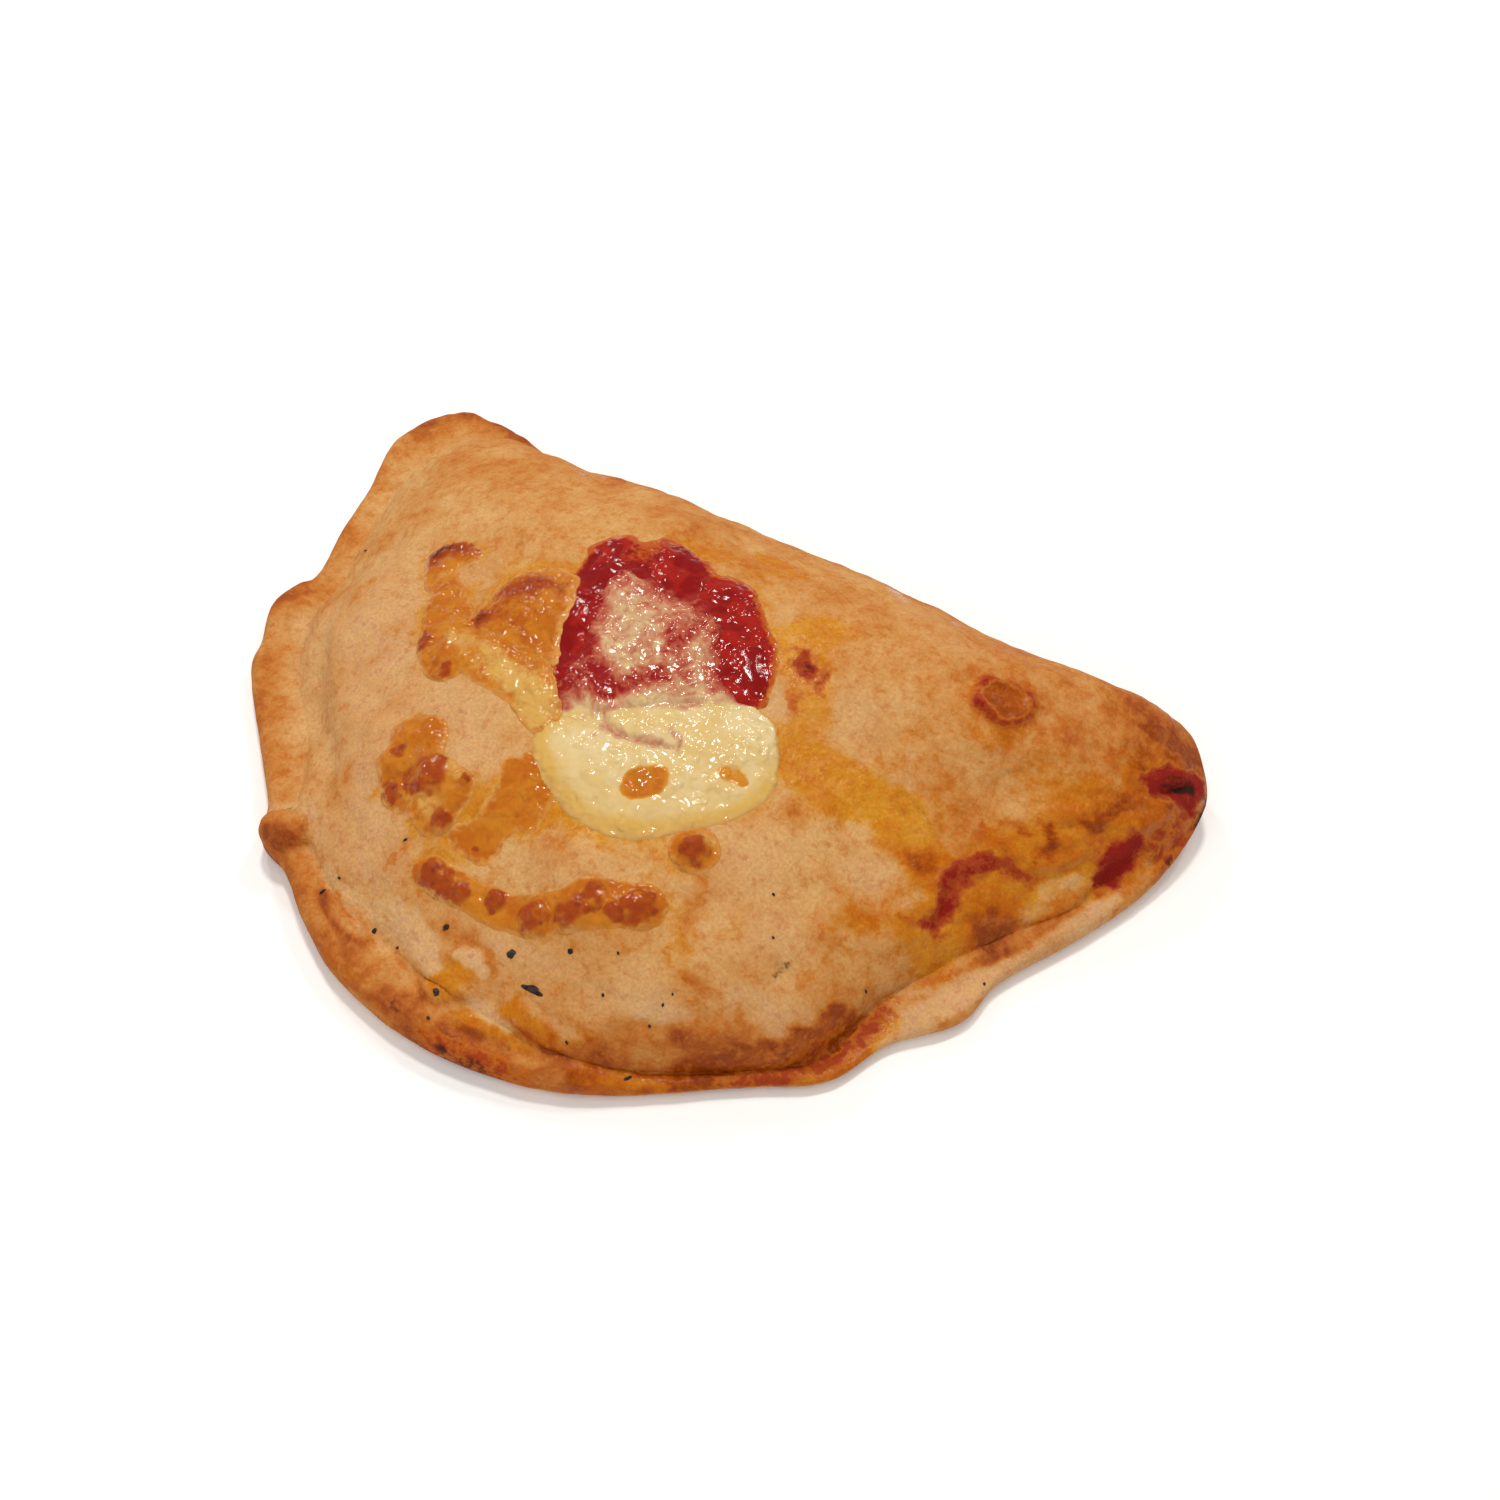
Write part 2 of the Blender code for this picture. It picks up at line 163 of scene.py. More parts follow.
# Creases and slits, as lines of points with a width and depth
CREASES = [
    ([(84, -5), (87.5, 0), (86.5, 6), (88, 13), (94, 19)], 1.6, 1.0),  # where the seam leaks sauce
    ([(111, 30), (114, 37), (116.5, 45)], 1.5, 1.2),  # the seam gaping at the right
    ([(114, 57), (117.2, 59.3), (121, 64.5)], 1.1, 1.7),  # the slit in the burnt tip
    ([(106, 52), (112, 54), (117, 57)], 1.4, 0.7),
    ([(92, 27), (96, 26), (100, 30), (104, 31)], 1.0, 0.6),
    ([(93, 33), (99, 34), (104, 38), (110, 40)], 1.2, 0.7),
    ([(88, 22), (94, 21), (99, 24)], 0.9, 0.5),
    ([(66, 17), (72, 15), (78, 12), (82, 9)], 1.0, 0.6),
    ([(64, 14), (70, 12), (76, 9)], 0.9, 0.4),
    ([(66, 21), (73, 19), (79, 15)], 0.9, 0.35),
    ([(-96, 12), (-88, -10), (-75, -25), (-60, -39), (-46, -52)], 3.0, 0.9),
    ([(-101, -6), (-93, -19), (-82, -30), (-70, -41)], 1.6, 0.3),
    ([(-4.5, -72), (-0.3, -75.6), (4.4, -75.2), (8.2, -72.8)], 0.8, 0.35),
    ([(19.5, -70.2), (24.9, -71), (28.7, -70.7), (34, -69.6)], 0.8, 0.4),
    ([(11.3, -76.8), (16.3, -76.2), (25, -74.9)], 0.8, 0.3),
    ([(-16, -67), (-10, -71), (-4, -73)], 1.2, 0.25),
    ([(-8, -81), (-4.7, -80.5), (-2, -81)], 0.8, 0.6),
    ([(40, -64), (50, -57), (58, -50)], 1.4, 0.4),
]

# ---------------------------------------------------------------------------------------------
# Where the oven and the filling have coloured it: x, y, reach along and across, direction, amount
# ---------------------------------------------------------------------------------------------
# Browned in the oven; a negative amount is paler
BROWN = [
    (56, -36, 7, 5, 0, 0.18), (44, 56, 14, 7, 0, 0.10),
    (25, -68.5, 7, 3, 0, 0.14), (19, -74, 9, 2.4, 5, 0.12),
    (-33, -68.5, 8, 4, -15, 0.20), (-16.5, -79.4, 9, 3.4, -8, 0.20), (4, -81.6, 10, 3.4, 0, 0.28),
    (24, -79, 10, 3, 8, 0.16), (36, -74, 8, 3.2, 20, 0.34), (-88, -33, 12, 5, -60, 0.20),
    (5, -61.5, 6, 3.4, 0, 0.40), (115.6, 76, 6, 4, -30, 0.26), (118, 62, 5, 5, 0, 0.2),
    (122, 54, 4, 7, 0, 0.24),
    (-3.6, -61, 5, 3.6, 0, 0.36),
    (-92, -30, 9, 5, -45, 0.22), (-74, -45, 9, 5, -40, 0.20), (-44, -71, 9, 4, -35, 0.22),
    (-108, 0, 4, 8, 0, 0.3), (-30, -76, 9, 3, -20, 0.26), (-8, -80, 9, 3, -5, 0.30),
    (12, -80, 13, 3, 6, 0.52), (2, -79, 6, 3, 0, 0.26), (30, -79, 8, 2, 10, 0.25),
    (41, -66, 4.5, 3, 15, 0.30), (46, -60.8, 5.5, 3.4, 30, 0.30), (54.2, -55.6, 3, 2.4, 0, 0.18),
    (63.4, -50, 5, 2.4, 35, 0.22), (31, -62, 5, 2.6, 0, 0.10), (50.5, -3.6, 4.6, 3.6, 0, 0.36),
    (29, 49, 10, 7, 0, 0.1), (96.8, 7.8, 5.6, 4.8, 30, 0.30), (57, 42, 12, 9, 30, 0.1),
    (83, 38, 9, 6, 0, 0.12), (100, 52, 19, 15, -15, 0.14), (98, 71, 24, 6, -8, 0.12),
    (114, 71, 11, 9, -20, 0.34), (112, 52, 7, 5, 40, 0.24), (119, 66, 6, 6, 0, 0.30),
    (6.5, -61.5, 4, 2.2, 0, 0.16), (55, -48, 6, 3.4, 20, 0.16), (75.5, -9.2, 5, 3.6, 30, 0.24),
    (81, -18.4, 2.6, 2.2, 0, 0.32), (77, 7, 6, 4.5, 0, 0.26), (67.4, -22, 3, 2.4, 0, 0.12),
    (45, -35.6, 2.2, 6, 20, 0.24), (54.5, -45.4, 5, 2, 0, 0.26), (57, -26, 9, 5, 30, 0.14),
    (46, -41, 3, 3, 0, 0.14), (66.5, -46, 4, 2, 30, 0.18), (-77, 56, 22, 12, -20, 0.1),
    (-114, 76, 10, 8, 40, 0.24), (-99, 83, 12, 5, 0, 0.24), (-82, 79, 14, 5, -15, 0.20),
    (0, 79, 60, 7, 0, 0.14), (62, 79, 40, 7, 0, 0.14), (-66, -8, 8, 6, 50, 0.24),
    (-50, -22, 5, 4, 0, 0.20), (-74, -26, 5, 4, 0, 0.18), (-62, -34, 8, 5, -40, 0.14),
    (-48, -40, 5, 4, 0, 0.14), (-92, 40, 6, 20, 15, 0.12), (-4, 66, 16, 5, 5, 0.12),
    (-40, 48, 10, 7, 20, 0.08), (120, 53, 6, 6, 0, 0.22), (-14, -58, 6, 4, 0, 0.20),
    (-24, -52, 6, 4, -30, 0.18), (12, -33, 22, 5, 15, -0.22), (90, 20, 5, 3, 30, 0.16),
    (34, 24, 3, 4, 0, 0.24), (42, 14, 4, 3, 0, 0.24), (68, -54, 16, 4.5, 42, 0.20),
    (106, 42, 6, 4, 60, 0.14), (101, 30, 6, 4, 40, 0.12), (70, 8, 5, 3, 0, 0.14),
]
# Soaked with oil
OIL = [
    (42, 10, 8, 7, 0, 1.0), (51, 8, 9, 5.5, -20, 1.0), (61, 12, 8, 5, 10, 1.0), (31, 41, 7, 6, 0, 1.0),
    (9, 56, 9, 4, 0, 0.8), (-2, 65, 7, 3, 0, 0.5), (70, 12, 8, 5, 0, 0.9), (78, 6, 7, 6, 0, 1.0),
    (36, 27, 5, 11, 5, 1.0), (27, 37, 5, 7, -40, 0.9), (-36, 24, 9, 3.4, 10, 0.8),
    (91, 9, 8, 8, 30, 1.2), (98, 24, 14, 8, 40, 1.1), (108, 40, 12, 10, 50, 1.0),
    (94, 44, 16, 12, 0, 0.4), (115, 56, 6, 12, 0, 0.6), (5.5, -67.2, 5, 2.4, 10, 0.5),
    (19, -74.2, 8, 2.0, 5, 0.6), (25, -68.4, 8, 2.6, -3, 0.85), (35, -65.6, 4, 2.2, 10, 0.5),
    (3, -71.5, 5, 2.6, 20, 0.7), (48, -68, 13, 3.0, 32, 1.0), (66, -55, 14, 4, 42, 1.1),
    (79, -43, 8, 3.4, 45, 0.9), (83, -28, 8, 2.6, 45, 0.4), (-18, -76, 12, 4, -10, 0.15),
    (76, -11, 9, 5, 30, 0.8), (88, -6, 7, 5, 0, 0.8), (-12, 49, 22, 3, -4, 0.7),
    (46, 20, 8, 6, 0, 0.3), (-10, -36, 12, 9, 60, 0.45), (-100, 81, 20, 5, 0, 0.3),
    (-30, -75, 14, 4, -12, 0.2), (40, -71, 12, 4, 20, 0.4), (-53, 14, 8, 4, 50, 0.5),
    (12, -32, 20, 5, 15, 0.60), (54, -32, 3, 9, 25, 0.5), (-92, -36, 4, 14, 50, 0.15),
    (46, -40, 4, 8, 20, 0.6), (60, 30, 26, 16, -10, 0.35), (20, 66, 60, 10, 0, 0.35),
    (-47, 2, 5, 4, 0, 0.8), (-30, -55, 5, 3, 0, 0.2),
]
# Pale, dry patches that neither oil nor the oven reached
PALE = [
    (37, 17, 5.5, 5, 0, 1.0), (53, 26, 10, 6, -20, 0.8), (-16, -26, 10, 6, 0, 0.6),
    (64, -43, 8, 3.5, 40, 0.45),
]
# Flour left on the crust
FLOUR = [
    (35, 17, 6, 5, 0, 0.9), (71, -2, 8, 5, 30, 0.6), (60, -29, 9, 6, 40, 0.6),
    (70, -40, 8, 4, 40, 0.8), (90, -21, 9, 5, 60, 1.0), (97, -6, 6, 4, 55, 1.0), (104, 3, 6, 3, 62, 0.9),
    (109, 12, 7, 2.6, 65, 0.9), (113, 22, 6, 2.4, 68, 0.8), (116, 31, 5, 2, 70, 0.6),
    (74, 14, 9, 3, -32, 0.7), (104, 12, 5, 3, 40, 0.6), (101, 17, 5, 2.4, 30, 0.7), (104, 30, 3, 3, 0, 0.5),
    (46, -54, 10, 4, 28, 0.7), (32.6, -67, 3, 1.4, 5, 0.8), (15.6, -71.4, 4, 1.4, 0, 1.0),
    (7.2, -64.5, 4, 1.4, 0, 0.9), (-8, -66.5, 5, 2, -20, 0.8), (88, 51, 2.5, 12, -35, 0.35),
    (48, 19, 7, 3, -20, 0.5), (-62, -6, 26, 24, 40, 0.9), (-34, -46, 20, 11, -30, 0.9),
    (24, -44, 20, 8, 20, 0.5), (16, -60, 14, 4, 6, 0.9), (-30, -22, 14, 9, -30, 0.6),
    (44, -20, 12, 10, 40, 0.5), (-96, -8, 5, 10, 40, 0.4), (22, 36, 5, 5, 0, 0.3), (56, 56, 14, 8, 0, 0.25),
    (-46, -58, 8, 4, -35, 0.7), (-84, 10, 7, 14, 20, 0.4), (-30, -60, 9, 3, -10, 0.6),
]

# Colour drawn in lines of (x, y, half width), each with its strength: first the browned ones, of which the
# first two are painted shadow along the foot of the body, where it overhangs the lip at the front right
BROWN_AND_SHADOW_LINES = [
    # painted shadow under the edge of the body along the lip, continued by the next line; both are drawn
    # oily too
    ([(50, -64, 0.8), (60, -57, 1.6), (68, -51, 2.2), (75, -43.5, 2.8), (80, -35, 2.8), (84, -25, 2)], 0.42),
    ([(84, -24, 1.2), (87.5, -15, 1.4), (92, -7, 1), (99, 1, 0.7), (104, 9, 0.5)], 0.16),
    ([(19.5, -70.2, 0.3), (25, -71.2, 0.5), (29, -70.8, 0.5), (34, -69.5, 0.3)], 0.30),
    ([(-4.5, -72.5, 0.3), (-0.3, -75.8, 0.5), (4.4, -75.4, 0.5), (8.4, -72.8, 0.4),
      (11.4, -69.5, 0.3)], 0.30),
    ([(12.5, -66, 0.4), (12.5, -63.2, 0.6), (9, -62, 0.4)], 0.18),
    ([(11.3, -76.8, 0.4), (16.3, -76.4, 0.6), (25, -75, 0.4)], 0.22),
    ([(-13, -70, 0.5), (-8, -72, 0.7), (-3.5, -73, 0.4)], 0.20),
    ([(88, 25, 0.3), (92, 28, 0.5), (95.5, 28.5, 0.4)], 0.40),
    ([(95.5, 32.2, 0.4), (98.6, 32.6, 0.7), (100, 31, 0.6), (100, 28, 0.4), (98, 25.4, 0.3)], 0.42),
    ([(103, 38, 0.4), (106.3, 40.2, 1.0), (107, 42, 0.5)], 0.42),
    ([(105, 41, 0.4), (108, 45, 0.6), (112, 52, 0.7)], 0.36),
    ([(94, 20.5, 0.5), (98.3, 21.5, 0.7), (103, 25, 0.5)], 0.30),
    ([(43.5, -32, 0.8), (45, -36, 1.4), (47, -41, 1)], 0.14),
    ([(51, -45.5, 0.8), (55, -45.8, 1.1), (60, -45.5, 0.5)], 0.16),
    ([(74, 5, 1.5), (79, 8, 2), (82, 5, 1.5)], 0.18),
    ([(111, 56, 1.5), (116, 59, 3), (119.5, 66.5, 3.2)], 0.50),
    ([(64, 17, 0.3), (71, 14, 0.4), (78, 8, 0.3)], 0.16),
    ([(105, 66, 1), (110, 70, 2), (117, 74, 2)], 0.16),
    ([(3, -82, 1), (12, -82, 2.6), (22, -81.4, 3.0), (33, -79, 1.4)], 0.45),
    ([(38, -75, 1), (48, -70, 1.2), (58, -63.5, 1)], 0.18),
]
# Tomato juice and sauce that leaked out
TOMATO_LINES = [
    ([(83, -4, 0.3), (87, -0.5, 1.4), (87.3, 4, 1.8), (85.2, 8, 2.2), (86.5, 12, 2.4), (90, 16.5, 2),
      (94, 19.3, 1), (98.5, 21.3, 0.6)], 0.95),
    ([(80, -5.5, 0.2), (84, -3, 0.5)], 0.6),
    ([(112.2, 33.5, 1.8), (114.2, 38, 2.4), (116.2, 43.5, 2.0)], 1.35),
    ([(106.5, 36, 0.8), (111, 38, 1.6), (113, 42, 1.2)], 0.45),
    ([(110.5, 55.5, 1.2), (114.5, 58.5, 3.0), (118, 62, 4.0), (121, 67, 2.5)], 1.25),
    ([(119, 46, 2), (122.5, 52, 3.2), (123, 58, 2.6)], 0.62),
    ([(31.5, 32, 1.6), (34, 29, 2.4), (36, 28, 1)], 0.95),
    ([(38.5, 29.5, 1.0), (39.5, 26.5, 1.0)], 0.8),
    ([(36, 22, 0.8), (38, 18, 1.2)], 0.35),
    ([(65, -55, 0.6), (74.5, -47, 1.6), (80.6, -39, 2.5), (84.6, -30, 2.0), (87.5, -19, 0.7)], 0.70),
    ([(5, -81.5, 0.8), (13, -81.8, 2.2), (22, -81.2, 2.6), (32, -79, 1.0)], 0.66),
    ([(-36, -74.5, 0.6), (-28, -77.5, 1.2), (-18, -80, 1.0)], 0.32),
]
# Burnt edges and spots
CHAR_LINES = [
    ([(-8, -81.2, 0.3), (-4.7, -80.6, 0.5), (-2, -81, 0.3)], 0.42),
    ([(10, -82.8, 0.5), (18.6, -82.3, 1.3), (26, -80.8, 0.6)], 0.50),
    ([(117.5, 60, 0.4), (121, 64.5, 0.7)], 0.9),
    ([(115.5, 59.5, 1.6), (119.5, 63.5, 2.6)], 0.40),
    ([(125, 58, 0.4), (125.4, 64, 0.9), (124, 69, 0.5)], 0.75),
    ([(122.5, 46, 0.6), (123.8, 50, 0.8)], 0.42),
    ([(33, 31, 0.7), (34.5, 29.5, 0.9)], 0.42),
    ([(-3.6, -61.9, 0.5), (-3.0, -61.3, 0.5)], 0.6),
    ([(66.7, -34.8, 0.5), (67.7, -31.6, 0.9)], 0.55),
]
# Fat gathered golden in the folds
GOLD_LINES = [
    ([(2, -66.5, 1.2), (5.5, -67.3, 2), (9, -66.8, 1.2)], 1.0),
    ([(12, -74, 0.8), (19, -74.2, 1.5), (26, -73, 0.9)], 1.1),
    ([(19, -68.5, 0.8), (25, -68.6, 1.6), (31, -68, 1)], 1.1),
    ([(32, -65.5, 0.8), (35, -65.6, 1.4), (39, -64.5, 0.8)], 0.9),
    ([(-1, -71, 1), (4, -71.5, 2), (8, -70, 1)], 0.8),
    ([(47, -41, 1), (52, -46, 1.2), (57, -46, 0.8)], 0.5),
    ([(40, -71, 1.2), (56, -63.5, 2), (69, -56, 2.5), (81, -45.5, 3.2), (88.5, -35, 3.2),
      (91, -23, 1.6)], 1.6),
    ([(90, -3, 1), (92, 3, 2), (91, 9, 2.4), (94, 14, 2), (100, 18, 1.5)], 1.2),
]
# Pale ridges between the folds
CREAM_LINES = [
    ([(3, -64.6, 0.6), (7.2, -64.2, 1), (11, -65.5, 0.6)], 0.8),
    ([(11, -71, 0.6), (15.6, -71.3, 1.1), (21, -71.8, 0.6)], 0.9),
    ([(29, -66.4, 0.4), (33, -66.3, 0.8), (37, -65.8, 0.4)], 0.4),
    ([(-20, -63.5, 1.2), (-12, -64.5, 2.4), (-5, -66.5, 2.2), (-0.5, -69.5, 1)], 0.9),
    ([(45, -56, 0.8), (49.6, -53.6, 1.5), (54, -51.5, 0.8)], 0.5),
    ([(-40, -62, 1), (-34, -65, 1.2), (-22, -65.5, 1.2), (-16, -67, 1)], 0.6),
    ([(90, -29, 1), (94, -20, 2.8), (98, -10, 2.6), (104, 2, 1.8), (109, 11.5, 1.8), (112.5, 20, 2.0),
      (115, 28.5, 1.5), (117, 33.5, 0.5)], 0.85),
    ([(101, 16, 1), (104, 24, 1.4), (108, 30, 0.8)], 0.5),
    ([(-64, -55, 0.8), (-58, -51, 1), (-51, -53, 0.8)], 0.5),
]

# Char flecks: x, y, length, breadth, direction
FLECK_HEIGHT, FLECK_LIFT = 0.32, 0.10  # half their thickness, and how far they stand out of the crust
FLECKS = [
    (14.4, -60.4, 2.1, 1.8, 20), (22.8, -64.1, 5.4, 1.3, 1), (3.3, -74.1, 1.7, 1.4, 0),
    (-19.9, -68.6, 1.1, 0.9, 70), (-37, -67, 1.6, 0.6, 80), (-3, -62, 1.2, 0.9, 10),
    (26.8, -54.9, 1.1, 0.8, 0), (48.5, -65.8, 1.8, 0.6, 60), (-23, -51, 0.9, 0.6, 50),
    (-35, -63, 1.0, 0.5, 0), (57, -21, 0.7, 0.6, 0), (62, -29, 0.6, 0.5, 0), (102, -3, 0.7, 0.6, 0),
    (4.7, -79.2, 0.9, 0.7, 0), (-99, 20, 0.7, 0.5, 30), (82, -22, 0.6, 0.5, 0), (36.2, -50.3, 0.6, 0.5, 0),
    (37.3, -58, 0.7, 0.5, 0), (50, -50, 0.5, 0.4, 30), (49.3, -52.7, 0.6, 0.5, 0), (48.6, -57, 0.6, 0.5, 0),
    (34.5, -68.3, 0.7, 0.5, 0), (-12.3, -69.4, 0.8, 0.5, 20),
]


def lattice(corner, seed):
    """A fixed number from -1 to 1 for each corner of a lattice."""
    x, y, z = (corner[..., i].astype(np.int64) for i in range(3))
    n = (x * 374761393 + y * 668265263 + z * 1274126177 + seed * 974634777) & 0xFFFFFFFF
    n = ((n ^ (n >> 13)) * 1274126177) & 0xFFFFFFFF
    return ((n ^ (n >> 16)) & 0xFFFFFF) / 8388607.5 - 1.0


def uneven(points, size, octaves=1, seed=0):
    """Smooth unevenness from about -1 to 1, with lumps about size across and finer ones on them."""
    total, weight, norm = 0.0, 1.0, 0.0
    points = np.asarray(points, float)
    if points.shape[-1] == 2:
        points = np.concatenate([points, np.zeros(points.shape[:-1] + (1,))], -1)
    for octave in range(octaves):
        p = points / size * 2**octave + 17.3 * octave
        # a turn keeps the lumps from lining up with the axes
        p = p @ np.array([[0.80, 0.36, -0.48], [-0.60, 0.48, -0.64], [0.0, 0.80, 0.60]])
        cell = np.floor(p)
        f = p - cell
        f = f * f * f * (f * (f * 6 - 15) + 10)
        shares = (1 - f, f)
        value = 0.0
        for dx, dy, dz in product((0, 1), repeat=3):
            share = shares[dx][..., 0] * shares[dy][..., 1] * shares[dz][..., 2]
            value = value + share * lattice(cell + (dx, dy, dz), seed + octave)
        total = total + weight * value
        norm += weight
        weight *= 0.5
    return total / norm * 1.6


def drift(points, size, octaves, seed):
    """Uneven sideways shifts of plan points, which make a drawn edge wander."""
    return np.stack([uneven(points, size, octaves, seed + i) for i in (0, 1)], -1)


def smooth_step(value, low, high):
    """0 up to low, easing up to 1 at high."""
    t = np.clip((value - low) / (high - low), 0, 1)
    return t * t * (3 - 2 * t)


def smooth_fall(value, low, high):
    """1 up to low, easing down to 0 at high."""
    return smooth_step(-value, -high, -low)


def from_middle(xy, oval):
    """Distance of each point from the middle of an oval: 1 at its edge."""
    at_x, at_y, along, across, direction = oval
    turn = math.radians(direction)
    dx, dy = xy[..., 0] - at_x, xy[..., 1] - at_y
    u = (dx * math.cos(turn) + dy * math.sin(turn)) / along
    v = (dy * math.cos(turn) - dx * math.sin(turn)) / across
    return np.hypot(u, v)


def hills(xy, rows):
    """Sum of rounded rises over each plan point: x, y, reach along and across, direction, height."""
    total = np.zeros(xy.shape[:-1])
    for *oval, height in rows:
        total = total + height * np.exp(-(from_middle(xy, oval) ** 2))
    return total


def beside(xy, line):
    """Distance of each point from a line of points, its side (1 left, -1 right) and place along it."""
    line = np.asarray(line, float)
    lengths = np.hypot(*(line[1:] - line[:-1]).T)
    starts = np.concatenate([[0], np.cumsum(lengths)])
    best = np.full(xy.shape[:-1], 1e9)
    side, place = np.ones_like(best), np.zeros_like(best)
    for i, length in enumerate(lengths):
        run = (line[i + 1] - line[i]) / length
        off = xy - line[i]
        along = off @ run
        held = np.clip(along, 0, length)
        gap = off - held[..., None] * run
        distance = np.hypot(gap[..., 0], gap[..., 1])
        nearer = distance < best
        best = np.where(nearer, distance, best)
        cross = run[0] * off[..., 1] - run[1] * off[..., 0]
        side = np.where(nearer, np.sign(cross), side)
        place = np.where(nearer, (starts[i] + held) / starts[-1], place)
    return best, side, place


def closed_curve(points, per_span):
    """A smooth closed curve through the points, with per_span steps from each to the next."""
    points = np.array(points, float)
    before, after, later = (np.roll(points, shift, axis=0) for shift in (1, -1, -2))
    t = (np.arange(per_span) / per_span)[None, :, None]
    a, b, c, d = (p[:, None, :] for p in (before, points, after, later))
    curve = b + 0.5 * t * (c - a + t * (2 * a - 5 * b + 4 * c - d + t * (3 * (b - c) + d - a)))
    return curve.reshape(-1, 2)


def smooth_table(angles, values, blur=5.0):
    """The values at each degree, eased into each other over blur degrees."""
    table = np.interp(np.arange(360), angles, values, period=360)
    offsets = np.arange(-15, 16)
    weights = np.exp(-0.5 * (offsets / blur) ** 2)
    weights /= weights.sum()
    return sum(w * np.roll(table, o) for w, o in zip(weights, offsets, strict=True))


def smooth_max(a, b, width):
    """The larger of two heights, with a fillet about width wide where they cross."""
    mix = np.clip(0.5 + 0.5 * (a - b) / width, 0, 1)
    return b + (a - b) * mix + width * mix * (1 - mix)


class Form:
    """The form of the dough, in millimetres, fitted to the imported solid's footprint."""

    def __init__(self):
        lowest, highest = np.array(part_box("dough"))[:, :2] / MM
        curve = closed_curve(OUTLINE, 12)
        low, high = curve.min(axis=0), curve.max(axis=0)
        away = (curve - (low + high) / 2) / (high - low) * (highest - lowest) - CENTRE
        angles = np.degrees(np.arctan2(away[:, 1], away[:, 0])) % 360
        order = np.argsort(angles)
        reach = np.hypot(away[:, 0], away[:, 1])
        self.reach = np.interp(np.arange(360), angles[order], reach[order], period=360)
        for at, extra, ease in BULGES:
            self.reach += extra * np.exp(-(((np.arange(360) - at) / ease) ** 2))
        degrees, width, thickness, slope = np.array(RIM, float).T
        self.soft_reach = smooth_table(np.arange(360), self.reach, blur=4.0)
        self.rim_width = smooth_table(degrees, width)
        self.rim_top = smooth_table(degrees, thickness)
        self.slope = smooth_table(degrees, slope)
        # 1 along the fold and along the front right, 0 elsewhere
        self.fold = smooth_table([13, 27, 132, 148], [0, 1, 1, 0])
        self.front = smooth_table([296, 308, 330, 341], [0, 1, 1, 0])
        # how softly the body runs into the rim
        self.fillet = smooth_table(
            [20, 44, 205, 228, 291, 303, 330, 343], [6, 2, 2, 11, 11, 1.6, 1.4, 7]
        )

    @staticmethod
    def at(table, angle):
        """The table's value at an angle in radians."""
        return np.interp(np.degrees(angle), np.arange(360), table, period=360)

    def nose(self, angle):
        """Height at which the outline reaches furthest out."""
        return SEAM_NOSE + self.at(self.fold, angle) * (FOLD_NOSE - SEAM_NOSE)

    def tuck(self, angle):
        """How far the underside rounds inwards."""
        return SEAM_TUCK + self.at(self.fold, angle) * (FOLD_TUCK - SEAM_TUCK)

    def crease(self, angle):
        """How far from CENTRE the body meets the rim."""
        fold, reach = self.at(self.fold, angle), self.at(self.reach, angle)
        body = np.minimum(self.at(self.soft_reach, angle) - self.at(self.rim_width, angle), reach)
        return fold * reach + (1 - fold) * body

    def top(self, angle, distance):
        """Height of the upper side, distance millimetres out from CENTRE."""
        x = CENTRE[0] + distance * np.cos(angle)
        y = CENTRE[1] + distance * np.sin(angle)
        xy = np.stack([x, y], -1)
        reach, crease = self.at(self.reach, angle), self.crease(angle)
        rim_top, slope = self.at(self.rim_top, angle), self.at(self.slope, angle)
        fold, nose = self.at(self.fold, angle), self.nose(angle)
        share = np.clip(distance / crease, 0, 1)
        foot = fold * nose + (1 - fold) * (rim_top - FOOT_DROP)
        fullness = 2.1 + 0.9 * fold  # the body stays high for longer towards the fold
        body = foot + (CROWN - foot) * (1 - share**fullness) ** slope
        body += hills(xy, SWELLS) * (1 - share**6)
        inwards = np.clip((reach - distance) / (0.5 * rim_top), 0, 1)
        round_edge = np.sqrt(1 - (1 - inwards) ** 2)
        rim = nose + (rim_top - nose) * round_edge * (1 - fold)
        near = np.exp(-(((distance - crease) / GROOVE_WIDTH) ** 2))
        rim = rim - GROOVE_DEPTH * near * self.at(self.front, angle)
        body = np.where(distance < crease, body, rim - 2)
        crimps = hills(xy, CRIMPS) * round_edge * (1 - fold)
        total = smooth_max(body, rim, self.at(self.fillet, angle)) + crimps
        for at_x, at_y, radius, height in BLISTERS:
            apart = np.hypot(x - at_x, y - at_y) / radius
            total += height * np.clip(1 - apart**2, 0, 1) ** 0.6
        return total


